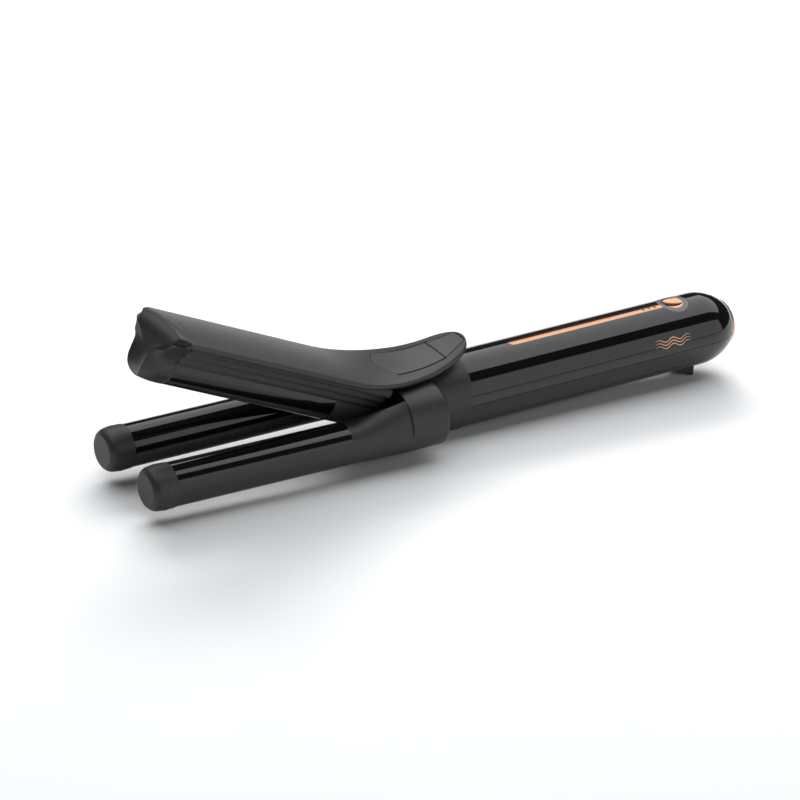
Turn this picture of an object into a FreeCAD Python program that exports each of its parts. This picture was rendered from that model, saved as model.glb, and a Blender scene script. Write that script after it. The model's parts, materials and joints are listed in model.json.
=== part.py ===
# Cordless hair waver: a round battery handle, two fixed lower barrels and a hinged upper jaw.
# All sizes are millimetres and degrees. The tool is drawn with the handle's axis along X, the
# barrels' tips at -X and up at +Z. The finished tool is turned so that the underside of its collar
# and its rear foot stand on Z = 0, the barrels clear of the surface, and is centred there.
import FreeCAD
import Part
import math
import os

V = FreeCAD.Vector

# Handle
handle_r = 18.0
handle_wall = 1.8
handle_front_x = 28.2
handle_front_lean = 5.7
handle_rear_x = 189.4
handle_dome_x = 173.5
handle_rear_r = 12.5
split_z = 0.0
split_groove_width = 0.24
split_groove_depth = 0.3

# Controls along the top of the handle
strip_x0 = 59.8
strip_x1 = 152.2
strip_width = 5.3
strip_depth = 0.8
led_pitch = 3.4
led_count = 3
led_first_x = 140.1
led_length = 1.3
led_width = 3.4
button_x = 158.5
button_r = 5.35
button_gap = 0.15
button_dish_r = 24.0
button_travel = 0.6
bezel_r = 8.0

# Rear end and charging socket
end_disc_thickness = 2.0
end_disc_chamfer = 0.6
socket_body_r = 5.5
socket_body_length = 13.3
socket_nose_r = 4.2
socket_bore_r = 2.8
socket_bore_depth = 9.5
socket_pin_r = 0.8

# Rear foot
foot_front_x = 162.0
foot_rear_x = 172.3
foot_tip_z = -22.6
foot_tip_length = 1.6
foot_width = 12.0
foot_peg_r = 1.8

# Battery and electronics
cell_r = 9.2
cell_length = 65.1
cell_gap = 2.0
cell_front_x = 36.0
cradle_wall = 1.2
cradle_gap = 0.15
board_x0 = 62.0
board_x1 = 168.0
board_z = 11.0
board_thickness = 1.2
board_width = 18.0
switch_size = 6.0
switch_height = 1.7
switch_stem_r = 1.6
switch_stem_height = 0.6
led_chip_size = 1.6
led_chip_height = 0.9

# Screws
screw_r = 0.9
screw_head_r = 1.6
screw_head_height = 1.2
screw_gap = 0.05
boss_wall = 1.5
handle_screw_x = 171.7
handle_screw_y = 4.0
handle_screw_top_z = 6.0

# Collar between handle and yoke
collar_front_x = -9.0
collar_front_r = 9.0
collar_mid_x = 8.0
collar_mid_r = 16.6
collar_wall = 2.0
collar_bulge_run = 0.35
collar_bulge_rise = 0.62
collar_swell = 0.35
collar_seam_run = 2.0
collar_rest_steps = 60
spigot_length = 5.0
spigot_gap = 0.1

# Fixed lower barrels, each in a frame whose X axis is the barrel's own axis
barrel_r = 9.93
barrel_wall = 1.9
barrel_y = 21.385
barrel_z = -0.355
barrel_pitch = 1.009
barrel_toe = 0.688
barrel_tip_x = -133.86
barrel_grow_x = -40.0
plate_rear_x = -45.0
plate_outer_edge = 29.0
plate_inner_edge = 185.0
cap_length = 11.8
cap_r = 10.4
cap_front_r = 7.2
cap_round_run = 3.8
cap_round_drop = 0.4
cap_round_mid_run = 1.2
cap_round_mid_rise = 1.75
cap_lip = 0.3
cap_lip_drop = 0.2
cap_spigot = 5.0
cap_body_share = 0.42
core_gap = 0.1
core_front_gap = 1.0
heater_length = 72.0
heater_width = 9.0
heater_thickness = 3.0
heater_setback = 1.5

# Yoke that carries the barrels and the hinge
yoke_front_x = -13.5
yoke_rear_x = 8.0
yoke_top_z = 17.4
yoke_top_half = 17.0
yoke_half = 31.5
yoke_bottom_z = -10.6
yoke_wall = 2.0
yoke_edge_r = 3.6
channel_half = 11.0
channel_rear_x = 6.0
channel_wall = 2.0
channel_floor_z = -8.4
yoke_cover_inner_y = 13.4
yoke_cover_width = 8.0
yoke_cover_thickness = 1.6
yoke_screw_pitch = 10.0

# Hinge; the jaw's frame starts on the jaw barrel's axis, and the pin lies behind that point
jaw_origin_x = -12.0
jaw_origin_z = 0.0
hinge_setback = 2.0
jaw_open = 24.3
jaw_closed = 4.6
pin_r = 2.0
pin_half = 12.9
pin_gap = 0.05
bush_wall = 1.0
hub_r = 7.0
hub_half = 6.2
spring_wire_r = 0.5
spring_r = 4.2
spring_turns = 3

# Jaw, in the jaw's frame, whose X axis is the jaw barrel's own axis
jaw_r = 10.0
jaw_wall = 1.9
jaw_plate_front_x = -125.5
jaw_plate_rear_x = -34.0
jaw_plate_edge_z = 2.5
jaw_body_front_x = -127.0
jaw_body_rear_x = -12.0
wing_half = 21.3
wing_top_z = 18.2
wing_crown_r = 114.0
wing_thickness = 3.0
wing_slab_half = 24.0
rib_upper_half = 17.5
rib_middle_half = 14.0
rib_lower_half = 11.6
lever_rise = 22.8
lever_bend_r = 105.0
lever_bend_x = -16.4
lever_curl_r = 67.0
lever_curl = 34.0
lever_shoulder_x = -32.0
lever_end_x = 28.8
lever_end_half = 12.6
lever_end_arc_x = 18.6
pad_depth = 1.0
pad_apex_x = -13.5
pad_shoulder_x = -8.0
pad_front_half = 11.5
pad_seam_x = 17.0
pad_seam_half = 8.6
pad_rear_x = 27.3
pad_rear_half = 4.5
nose_tip_x = -140.9
nose_tip_z = -3.5
nose_top_x = -132.6
web_rear_x = 5.0

FAR = 300.0


def ring_face(points):
    """A face bounded by a closed polygon through the points."""
    return Part.Face(Part.makePolygon(points + [points[0]]))


def arc(a, b, c):
    """A circular edge from a through b to c."""
    return Part.Arc(a, b, c).toShape()


def line(a, b):
    """A straight edge from a to b."""
    return Part.makeLine(a, b)


def face_of(edges):
    """A flat face bounded by edges that follow one another."""
    return Part.Face(Part.Wire(edges))


def box(x0, x1, y0, y1, z0, z1):
    """A block between two corners."""
    return Part.makeBox(x1 - x0, y1 - y0, z1 - z0, V(x0, y0, z0))


def rod_x(radius, x0, x1, y=0.0, z=0.0):
    """A round bar along X."""
    return Part.makeCylinder(radius, x1 - x0, V(x0, y, z), V(1, 0, 0))


def rod_y(radius, y0, y1, x=0.0, z=0.0):
    """A round bar along Y."""
    return Part.makeCylinder(radius, y1 - y0, V(x, y0, z), V(0, 1, 0))


def rod_z(radius, z0, z1, x=0.0, y=0.0):
    """A round bar along Z."""
    return Part.makeCylinder(radius, z1 - z0, V(x, y, z0), V(0, 0, 1))


def spin_x(edges):
    """The solid swept by an outline of the XZ plane that is turned about the X axis."""
    return face_of(edges).revolve(V(0, 0, 0), V(1, 0, 0), 360)


def fuse(shapes):
    """One clean solid out of shapes that touch or overlap."""
    return shapes[0].multiFuse(shapes[1:]).removeSplitter()


def solid(shape):
    """The largest solid of a boolean's result."""
    return max(shape.Solids, key=lambda s: s.Volume)


def group(shapes):
    """Separate solids that share one node."""
    return Part.makeCompound([solid(s) for s in shapes])


def frame(x, y, z, pitch, toe=0.0):
    """A placement at a point, its X axis pitched up towards -X and turned about Z."""
    turn = FreeCAD.Rotation(V(0, 0, 1), toe).multiply(FreeCAD.Rotation(V(0, 1, 0), pitch))
    return FreeCAD.Placement(V(x, y, z), turn)


def placed(shape, placement):
    """A copy of a shape carried by a placement."""
    copy = shape.copy()
    copy.Placement = placement.multiply(copy.Placement)
    return copy


JAW = frame(jaw_origin_x, 0, jaw_origin_z, jaw_open)
PIVOT = JAW.multVec(V(hinge_setback, 0, 0))


def barrel_frame(side):
    """The frame of one lower barrel; side is -1 for the left one and 1 for the right one."""
    return frame(0, side * barrel_y, barrel_z, barrel_pitch, side * barrel_toe)


# ---------------------------------------------------------------- handle

def handle_outline(inset):
    """The handle as a solid of revolution, made smaller all round by inset."""
    radius = handle_r - inset
    end_x = handle_rear_x - inset
    end_r = handle_rear_r - inset
    run = end_x - handle_dome_x
    drop = radius - end_r
    dome_r = (run * run + drop * drop) / (2 * drop)
    half_turn = math.asin(run / dome_r) / 2
    mid = V(handle_dome_x + dome_r * math.sin(half_turn), 0, radius - dome_r * (1 - math.cos(half_turn)))
    edges = [
        line(V(0, 0, 0), V(0, 0, radius)),
        line(V(0, 0, radius), V(handle_dome_x, 0, radius)),
        arc(V(handle_dome_x, 0, radius), mid, V(end_x, 0, end_r)),
        line(V(end_x, 0, end_r), V(end_x, 0, 0)),
        line(V(end_x, 0, 0), V(0, 0, 0)),
    ]
    return spin_x(edges)


def ahead_of_handle():
    """Everything in front of the leaning seam between collar and handle."""
    block = box(-FAR, 0, -FAR, FAR, -FAR, FAR)
    return placed(block, frame(handle_front_x, 0, 0, handle_front_lean))


def split_groove():
    """The fine groove that runs along the seam between the halves of the handle."""
    half = split_groove_width / 2
    skin = handle_outline(-1).cut(handle_outline(split_groove_depth))
    return skin.common(box(0, FAR, -FAR, FAR, split_z - half, split_z + half))


def handle_half(upper):
    """One hollow half of the handle."""
    hollow = handle_outline(0).cut(handle_outline(handle_wall)).cut(ahead_of_handle())
    hollow = hollow.cut(split_groove())
    if upper:
        keep = box(0, FAR, -FAR, FAR, split_z, FAR)
    else:
        keep = box(0, FAR, -FAR, FAR, -FAR, split_z)
    return hollow.common(keep)


def screw_boss(x, y, z0, z1):
    """A boss for one handle screw, trimmed to the inside of the handle."""
    radius = screw_head_r + screw_gap + boss_wall
    return rod_z(radius, z0, z1, x, y).common(handle_outline(handle_wall / 2))


def handle_screw_places():
    """Where the handle screws stand."""
    return [(handle_screw_x, -handle_screw_y), (handle_screw_x, handle_screw_y)]


def screw_head_z():
    """The height at which the handle screws' heads seat."""
    return -(handle_r - handle_wall) + screw_head_height


def handle_upper_shell():
    """Top half of the handle, open for the strip, the bezel, the lights and the socket."""
    shell = handle_half(True)
    parts = [shell]
    for x, y in handle_screw_places():
        parts.append(screw_boss(x, y, split_z, handle_r))
    shell = fuse(parts)
    for x, y in handle_screw_places():
        shell = shell.cut(rod_z(screw_r, split_z, handle_screw_top_z, x, y))
    shell = shell.cut(bezel_blank()).cut(accent_blank())
    for x in led_places():
        shell = shell.cut(light_blank(x))
    return solid(shell.cut(socket_blank()))


def handle_lower_shell():
    """Bottom half of the handle, with bosses for the two screws and a hole for the foot's peg."""
    shell = handle_half(False)
    parts = [shell]
    for x, y in handle_screw_places():
        parts.append(screw_boss(x, y, -handle_r, split_z))
    shell = fuse(parts)
    for x, y in handle_screw_places():
        shell = shell.cut(rod_z(screw_r + screw_gap, -handle_r, split_z, x, y))
        shell = shell.cut(rod_z(screw_head_r + screw_gap, -handle_r, screw_head_z(), x, y))
    shell = shell.cut(rod_z(foot_peg_r, -handle_r, -handle_r / 2, foot_peg_x()))
    return solid(shell.cut(socket_blank()))


def screw(x, y, seat_z, tip_z):
    """A pan-head screw that points up, its head below seat_z."""
    head = rod_z(screw_head_r, seat_z - screw_head_height, seat_z, x, y)
    return fuse([head, rod_z(screw_r, seat_z, tip_z, x, y)])


def handle_screws():
    """The two screws that hold the halves of the handle together."""
    seat = screw_head_z()
    return group([screw(x, y, seat, handle_screw_top_z - screw_head_height) for x, y in handle_screw_places()])


# ---------------------------------------------------------------- controls

def handle_skin(depth):
    """A layer under the handle's straight outside surface."""
    return rod_x(handle_r, 0, handle_dome_x).cut(rod_x(handle_r - depth, 0, handle_dome_x))


def accent_blank():
    """The strip's full outline with round ends."""
    half = strip_width / 2
    body = box(strip_x0 + half, strip_x1, -half, half, 0, handle_r + 1)
    tip = rod_z(half, 0, handle_r + 1, strip_x0 + half)
    return fuse([body, tip]).common(handle_skin(strip_depth))


def led_places():
    """Where the three lights stand along the strip."""
    return [led_first_x + led_pitch * i for i in range(led_count)]


def light_blank(x):
    """One light pipe, from the board to the outside surface."""
    half = led_length / 2
    z0 = board_z + board_thickness + led_chip_height
    block = box(x - half, x + half, -led_width / 2, led_width / 2, z0, handle_r)
    return block.common(rod_x(handle_r, 0, handle_dome_x))


def accent_strip():
    """Metal strip let into the top of the handle."""
    strip = accent_blank()
    for x in led_places():
        strip = strip.cut(light_blank(x))
    return solid(strip)


def led_light_pipes():
    """Three clear pipes that carry the charge lights to the strip."""
    return group([light_blank(x) for x in led_places()])


def bezel_blank():
    """The round hole through the handle's wall that the bezel fills."""
    column = rod_z(bezel_r, 0, handle_r + 1, button_x)
    return column.common(handle_skin(handle_wall + 1))


def button_bezel():
    """Ring round the power button, flush with the handle."""
    ring = rod_z(bezel_r, 0, handle_r + 1, button_x).common(handle_skin(handle_wall))
    hole = rod_z(button_r + button_gap, 0, handle_r + 1, button_x)
    return solid(ring.cut(hole).cut(accent_blank()))


def power_button():
    """Round button with a dished face, above the switch's stem by a small gap."""
    stem_top = board_z + board_thickness + switch_height + switch_stem_height
    bottom = stem_top + button_travel + button_gap
    body = rod_z(button_r, bottom, handle_r + 1, button_x).common(rod_x(handle_r, 0, handle_dome_x))
    dish = Part.makeSphere(button_dish_r, V(button_x, 0, handle_r + button_dish_r - strip_depth))
    return solid(body.cut(dish))


def main_circuit_board():
    """Control board over the battery."""
    return box(board_x0, board_x1, -board_width / 2, board_width / 2, board_z, board_z + board_thickness)


def tact_switch():
    """Push switch under the power button."""
    top = board_z + board_thickness
    half = switch_size / 2
    body = box(button_x - half, button_x + half, -half, half, top, top + switch_height)
    stem = rod_z(switch_stem_r, top + switch_height, top + switch_height + switch_stem_height, button_x)
    return fuse([body, stem])


def led_chips():
    """Three light-emitting chips on the board."""
    half = led_chip_size / 2
    top = board_z + board_thickness
    return group([box(x - half, x + half, -half, half, top, top + led_chip_height) for x in led_places()])


# ---------------------------------------------------------------- battery

def cell_places():
    """The front ends of the two cells."""
    return [cell_front_x, cell_front_x + cell_length + cell_gap]


def battery_cell(index):
    """One cylindrical cell with its raised contact."""
    x0 = cell_places()[index]
    can = rod_x(cell_r, x0, x0 + cell_length - cell_gap / 2)
    contact = rod_x(cell_r / 3, x0 + cell_length - cell_gap / 2, x0 + cell_length)
    return fuse([can, contact])


def battery_cradle():
    """Trough that holds both cells off the lower shell."""
    inner = cell_r + cradle_gap
    outer = inner + cradle_wall
    x0 = cell_front_x - cell_gap
    x1 = cell_places()[1] + cell_length + cradle_gap
    trough = rod_x(outer, x0, x1).cut(rod_x(inner, x0, x1))
    trough = trough.common(box(x0, x1, -outer, outer, -outer, -inner / 4))
    rib_r = handle_r - handle_wall
    ribs = []
    for x in (x0, (x0 + x1) / 2, x1 - cradle_wall):
        disc = rod_x(rib_r, x, x + cradle_wall).cut(rod_x(inner, x, x + cradle_wall))
        ribs.append(disc.common(box(x, x + cradle_wall, -outer / 2, outer / 2, -rib_r, -inner / 4)))
    return solid(fuse([trough] + ribs))


# ---------------------------------------------------------------- rear end

def socket_blank():
    """The round body of the charging socket with its nose."""
    front = handle_rear_x - socket_body_length
    return rod_x(socket_body_r, front, handle_rear_x)


def charging_socket():
    """Round low-voltage socket with a blind bore that opens to the rear."""
    mouth = handle_rear_x + end_disc_thickness - end_disc_chamfer
    nose = rod_x(socket_nose_r, handle_rear_x, mouth)
    bore = rod_x(socket_bore_r, mouth - socket_bore_depth, mouth + 1)
    return solid(fuse([socket_blank(), nose]).cut(bore))


def socket_pin():
    """Centre contact of the charging socket."""
    mouth = handle_rear_x + end_disc_thickness - end_disc_chamfer
    return rod_x(socket_pin_r, mouth - socket_bore_depth, mouth - end_disc_thickness)


def end_disc():
    """Metal disc that closes the rear of the handle round the socket."""
    x0 = handle_rear_x
    x1 = x0 + end_disc_thickness
    corner = end_disc_chamfer
    edges = [
        line(V(x0, 0, socket_nose_r), V(x0, 0, handle_rear_r)),
        line(V(x0, 0, handle_rear_r), V(x1 - corner, 0, handle_rear_r - corner)),
        line(V(x1 - corner, 0, handle_rear_r - corner), V(x1, 0, handle_rear_r - 2 * corner)),
        line(V(x1, 0, handle_rear_r - 2 * corner), V(x1, 0, socket_nose_r)),
        line(V(x1, 0, socket_nose_r), V(x0, 0, socket_nose_r)),
    ]
    return spin_x(edges)


def foot_peg_x():
    """Where the foot's peg enters the lower shell."""
    return foot_front_x + foot_peg_r * 3


def rest_fall():
    """The angle by which the handle's axis falls towards the rear when the tool stands."""
    falls = []
    for edge in collar_edges(0):
        for p in edge.discretize(collar_rest_steps):
            falls.append(math.atan2(-p.z - foot_tip_z, foot_rear_x - p.x))
    return min(fall for fall in falls if fall > 0)


def rear_foot():
    """Wedge foot under the rear of the handle, its tip parallel to the floor, pegged to the shell."""
    y = -foot_width / 2
    tip_rise = foot_tip_length * math.tan(rest_fall())
    outline = ring_face([
        V(foot_front_x, y, -handle_r),
        V(foot_front_x, y, -handle_r / 2),
        V(foot_rear_x, y, -handle_r / 2),
        V(foot_rear_x, y, foot_tip_z),
        V(foot_rear_x - foot_tip_length, y, foot_tip_z + tip_rise),
    ])
    wedge = outline.extrude(V(0, foot_width, 0)).cut(rod_x(handle_r, 0, foot_rear_x + 1))
    peg = rod_z(foot_peg_r, -handle_r - 1, -handle_r + handle_wall, foot_peg_x())
    return solid(fuse([solid(wedge), peg]))


# ---------------------------------------------------------------- yoke and collar

def yoke_outline(x, inset):
    """The yoke's cross-section at x: broad shoulders above, barrel-round edges below."""
    half = yoke_half - inset
    top = yoke_top_z - inset
    low = yoke_bottom_z + inset
    flat = yoke_top_half
    turn_r = barrel_r - inset
    side_z = low + turn_r
    turn_y = half - turn_r
    bend = turn_r * math.sqrt(0.5)
    right_shoulder = V(x, half - yoke_edge_r - (half - flat) * 0.02, side_z + (top - side_z) * 0.72)
    left_shoulder = V(x, -right_shoulder.y, right_shoulder.z)
    return face_of([
        line(V(x, -flat, top), V(x, flat, top)),
        arc(V(x, flat, top), right_shoulder, V(x, half, side_z)),
        arc(V(x, half, side_z), V(x, turn_y + bend, side_z - bend), V(x, turn_y, low)),
        line(V(x, turn_y, low), V(x, -turn_y, low)),
        arc(V(x, -turn_y, low), V(x, -turn_y - bend, side_z - bend), V(x, -half, side_z)),
        arc(V(x, -half, side_z), left_shoulder, V(x, -flat, top)),
    ])


def yoke_block(inset, x0, x1):
    """The yoke's cross-section carried from x0 to x1."""
    return yoke_outline(x0, inset).extrude(V(x1 - x0, 0, 0))


def yoke_envelope():
    """The yoke's outside with its rear edge rounded."""
    block = yoke_block(0, yoke_front_x, yoke_rear_x)
    rear = [e for e in block.Edges if e.BoundBox.XMin > yoke_rear_x - 0.01]
    return block.makeFillet(yoke_edge_r, rear)


def channel():
    """The open slot in the middle of the yoke that the jaw's hub turns in."""
    return box(yoke_front_x - 1, channel_rear_x, -channel_half, channel_half, channel_floor_z, FAR)


def yoke_cover_ends():
    """Where the yoke's covers start and stop along the tool."""
    return yoke_front_x + yoke_wall, yoke_rear_x - yoke_edge_r


def yoke_cover_blank(side):
    """The opening in the yoke's underside that one cover fills."""
    x0, x1 = yoke_cover_ends()
    edges = sorted([side * yoke_cover_inner_y, side * (yoke_cover_inner_y + yoke_cover_width)])
    return box(x0, x1, edges[0], edges[1], yoke_bottom_z, yoke_bottom_z + yoke_cover_thickness)


def yoke_screw_places(side):
    """Where the screws of one cover stand."""
    middle = sum(yoke_cover_ends()) / 2
    y = side * (yoke_cover_inner_y + yoke_cover_width / 2)
    return [(middle + along * yoke_screw_pitch, y) for along in (-0.5, 0.5)]


def yoke_screw_top():
    """How high the screws of the yoke's cover reach."""
    return yoke_bottom_z + 3 * yoke_cover_thickness + 2 * screw_head_height


def yoke_housing():
    """Hollow block that joins the barrels, the hinge and the handle."""
    body = yoke_envelope()
    cavity = yoke_block(yoke_wall, yoke_front_x + yoke_wall, yoke_rear_x - yoke_wall)
    walls = box(yoke_front_x, yoke_rear_x, -channel_half - channel_wall, channel_half + channel_wall,
                yoke_bottom_z, FAR)
    body = body.cut(cavity.cut(walls))
    bosses = []
    places = yoke_screw_places(-1) + yoke_screw_places(1)
    for x, y in places:
        boss_r = screw_r + screw_gap + boss_wall
        bosses.append(rod_z(boss_r, yoke_bottom_z, yoke_screw_top() + boss_wall, x, y))
    body = fuse([body] + [b.common(yoke_envelope()) for b in bosses])
    body = body.cut(channel()).cut(yoke_cover_blank(-1)).cut(yoke_cover_blank(1))
    for x, y in places:
        body = body.cut(rod_z(screw_r, yoke_bottom_z, yoke_screw_top(), x, y))
    for side in (-1, 1):
        mouth = rod_x(barrel_r - barrel_wall, yoke_front_x - 1, yoke_front_x + yoke_wall + 1)
        body = body.cut(placed(mouth, barrel_frame(side)))
        wire_way = rod_x(barrel_wall * 1.5, yoke_rear_x - 2 * yoke_wall, yoke_rear_x + 1, side * channel_half)
        body = body.cut(wire_way)
    body = body.cut(hinge_pin())
    return solid(body)


def yoke_cover(side):
    """Flat cover in the yoke's underside, over one side's wiring."""
    cover = yoke_cover_blank(side)
    for x, y in yoke_screw_places(side):
        cover = cover.cut(rod_z(screw_r + screw_gap, yoke_bottom_z, yoke_bottom_z + yoke_cover_thickness, x, y))
        cover = cover.cut(rod_z(screw_head_r + screw_gap, yoke_bottom_z, yoke_bottom_z + screw_head_height, x, y))
    return solid(cover)


def yoke_screws():
    """The four screws of the yoke's covers."""
    seat = yoke_bottom_z + screw_head_height
    tip = yoke_screw_top() - screw_head_height
    return group([screw(x, y, seat, tip) for x, y in yoke_screw_places(-1) + yoke_screw_places(1)])


def collar_edges(inset):
    """The collar's upper outline from its front rim to the handle's full radius."""
    front_r = collar_front_r - inset
    mid_r = collar_mid_r - inset
    end_r = handle_r - inset
    front = collar_front_x + inset
    bulge_x = front + (collar_mid_x - front) * collar_bulge_run
    bulge_r = front_r + (mid_r - front_r) * collar_bulge_rise
    swell = V((collar_mid_x + handle_front_x) / 2, 0, (mid_r + end_r) / 2 + collar_swell)
    return [
        arc(V(front, 0, front_r), V(bulge_x, 0, bulge_r), V(collar_mid_x, 0, mid_r)),
        arc(V(collar_mid_x, 0, mid_r), swell, V(handle_front_x + collar_seam_run, 0, end_r)),
    ]


def collar_outline(inset):
    """The domed collar as a solid of revolution, made smaller all round by inset."""
    front = collar_front_x + inset
    end_x = handle_front_x + collar_seam_run
    end_r = handle_r - inset
    rear = handle_front_x + handle_r
    edges = [line(V(front, 0, 0), V(front, 0, collar_front_r - inset))] + collar_edges(inset) + [
        line(V(end_x, 0, end_r), V(rear, 0, end_r)),
        line(V(rear, 0, end_r), V(rear, 0, 0)),
        line(V(rear, 0, 0), V(front, 0, 0)),
    ]
    return spin_x(edges)


def front_collar():
    """Domed collar between yoke and handle, with a spigot inside the handle."""
    body = collar_outline(0).common(ahead_of_handle())
    spigot_r = handle_r - handle_wall - spigot_gap
    spigot = rod_x(spigot_r, handle_front_x - handle_wall * 2, handle_front_x + spigot_length)
    spigot = spigot.cut(rod_x(spigot_r - collar_wall, 0, FAR))
    hollow = collar_outline(collar_wall).common(rod_x(spigot_r - collar_wall, yoke_rear_x, FAR))
    body = fuse([body.cut(hollow), spigot])
    body = body.cut(yoke_envelope()).cut(channel())
    return solid(body)


# ---------------------------------------------------------------- fixed barrels

def barrel_growth(side):
    """The stretch in which a barrel's round section grows into half of the yoke's section."""
    x0 = barrel_grow_x
    mid = barrel_frame(side).inverse()
    bend = barrel_r * math.sqrt(0.5)
    start = [
        arc(V(x0, -barrel_r, 0), V(x0, -bend, bend), V(x0, 0, barrel_r)),
        arc(V(x0, 0, barrel_r), V(x0, bend, bend), V(x0, barrel_r, 0)),
        arc(V(x0, barrel_r, 0), V(x0, bend, -bend), V(x0, 0, -barrel_r)),
        arc(V(x0, 0, -barrel_r), V(x0, -bend, -bend), V(x0, -barrel_r, 0)),
    ]
    low = yoke_bottom_z
    side_z = low + barrel_r
    turn_y = yoke_half - barrel_r
    inner_y = turn_y - barrel_r

    def at(y, z):
        point = mid.multVec(V(yoke_front_x, side * y, z))
        return V(point.x, side * point.y, point.z)

    crest = at(turn_y + 1.5, yoke_top_z - 1.8)
    inner = at(inner_y, side_z)
    outer = at(yoke_half, side_z)
    foot = at(turn_y, low)
    end = [
        arc(inner, at(inner_y + 3.4, side_z + 8.6), crest),
        arc(crest, at(yoke_half - 2.9, side_z + 10.6), outer),
        arc(outer, at(turn_y + bend, side_z - bend), foot),
        arc(foot, at(turn_y - bend, side_z - bend), inner),
    ]
    body = Part.makeLoft([Part.Wire(start), Part.Wire(end)], True, True)
    if side < 0:
        body = body.mirror(V(0, 0, 0), V(0, 1, 0))
    return body


def plate_blank(side, radius, wall, x0, x1, angle0, angle1):
    """A ring sector round X; angles run from the outer side over the top, 180 is the inner side."""
    sweep = angle1 - angle0
    start = math.radians(angle0)
    outline = [
        V(x0, (radius - wall) * math.cos(start), (radius - wall) * math.sin(start)),
        V(x0, radius * math.cos(start), radius * math.sin(start)),
        V(x1, radius * math.cos(start), radius * math.sin(start)),
        V(x1, (radius - wall) * math.cos(start), (radius - wall) * math.sin(start)),
    ]
    sector = ring_face(outline).revolve(V(0, 0, 0), V(1, 0, 0), sweep)
    if side < 0:
        sector = sector.mirror(V(0, 0, 0), V(0, 1, 0))
    return sector


def heating_plate_blank(side):
    """One lower heating plate in its barrel's frame."""
    return plate_blank(side, barrel_r, barrel_wall, barrel_tip_x, plate_rear_x, plate_outer_edge, plate_inner_edge)


def heating_plate(side):
    """Aluminium plate that wraps the upper inside of one lower barrel."""
    return placed(solid(heating_plate_blank(side)), barrel_frame(side))


def barrel_casing(side):
    """Moulded casing of one lower barrel, open where its plate lies."""
    straight = rod_x(barrel_r, barrel_tip_x, barrel_grow_x)
    casing = fuse([straight, barrel_growth(side)])
    casing = casing.cut(rod_x(barrel_r - barrel_wall, barrel_tip_x - 1, yoke_front_x + 2))
    casing = casing.cut(heating_plate_blank(side))
    return placed(solid(casing), barrel_frame(side))


def heater_middle(side):
    """The angle at which a lower plate's middle faces."""
    return (plate_outer_edge + plate_inner_edge) / 2


def heater_blank(side, length):
    """One flat heater in its barrel's frame, under the middle of the plate."""
    middle = (barrel_tip_x + plate_rear_x) / 2
    top = barrel_r - barrel_wall - heater_setback
    block = box(middle - length / 2, middle + length / 2, -heater_width / 2, heater_width / 2,
                top - heater_thickness, top)
    turn = heater_middle(side) - 90
    block.rotate(V(0, 0, 0), V(1, 0, 0), side * turn)
    return block


def barrel_core(side):
    """Spreader inside one lower barrel that presses the heater to the plate."""
    x0 = barrel_tip_x + cap_spigot + core_front_gap
    core = rod_x(barrel_r - barrel_wall - core_gap, x0, plate_rear_x)
    return placed(solid(core.cut(heater_blank(side, heater_length + core_front_gap))), barrel_frame(side))


def ptc_heater(side):
    """Ceramic heater of one lower barrel."""
    return placed(heater_blank(side, heater_length), barrel_frame(side))


def tip_cap(side):
    """Cool tip of one lower barrel, with a spigot inside it."""
    seam = barrel_tip_x
    front = seam - cap_length
    body_end = seam - cap_length * cap_body_share
    spigot_r = barrel_r - barrel_wall - core_gap
    round_end = V(front + cap_round_run, 0, cap_r - cap_round_drop)
    edges = [
        line(V(seam + cap_spigot, 0, 0), V(front, 0, 0)),
        line(V(front, 0, 0), V(front, 0, cap_front_r)),
        arc(V(front, 0, cap_front_r), V(front + cap_round_mid_run, 0, cap_front_r + cap_round_mid_rise),
            round_end),
        line(round_end, V(body_end, 0, cap_r)),
        line(V(body_end, 0, cap_r), V(seam - cap_lip, 0, cap_r - cap_lip_drop)),
        line(V(seam - cap_lip, 0, cap_r - cap_lip_drop), V(seam, 0, barrel_r)),
        line(V(seam, 0, barrel_r), V(seam, 0, spigot_r)),
        line(V(seam, 0, spigot_r), V(seam + cap_spigot, 0, spigot_r)),
        line(V(seam + cap_spigot, 0, spigot_r), V(seam + cap_spigot, 0, 0)),
    ]
    return placed(spin_x(edges), barrel_frame(side))


# ---------------------------------------------------------------- hinge

def hinge_pin():
    """Steel pin pressed into the yoke's channel walls."""
    return rod_y(pin_r, -pin_half, pin_half, PIVOT.x, PIVOT.z)


def jaw_spring():
    """Torsion spring that wraps the hinge pin beside the hub."""
    pitch = 2.2 * spring_wire_r
    height = pitch * spring_turns
    helix = Part.makeLongHelix(pitch, height, spring_r)
    section = Part.Wire([Part.makeCircle(spring_wire_r, V(spring_r, 0, 0), V(0, 1, 0))])
    coil = Part.Wire(helix.Edges).makePipeShell([section], True, True)
    middle = (hub_half + channel_half) / 2 - height / 2
    turn = FreeCAD.Placement(V(PIVOT.x, -middle, PIVOT.z), FreeCAD.Rotation(V(1, 0, 0), 90))
    return placed(solid(coil), turn)


def hinge_bushes():
    """Two plain bushes pressed into the ends of the hub."""
    gap = pin_r + pin_gap
    bushes = []
    for y0 in (-hub_half, hub_half / 3):
        y1 = y0 + hub_half * 2 / 3
        bushes.append(rod_y(gap + bush_wall, y0, y1, hinge_setback).cut(rod_y(gap, y0, y1, hinge_setback)))
    return placed(group(bushes), JAW)


# ---------------------------------------------------------------- jaw

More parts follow.
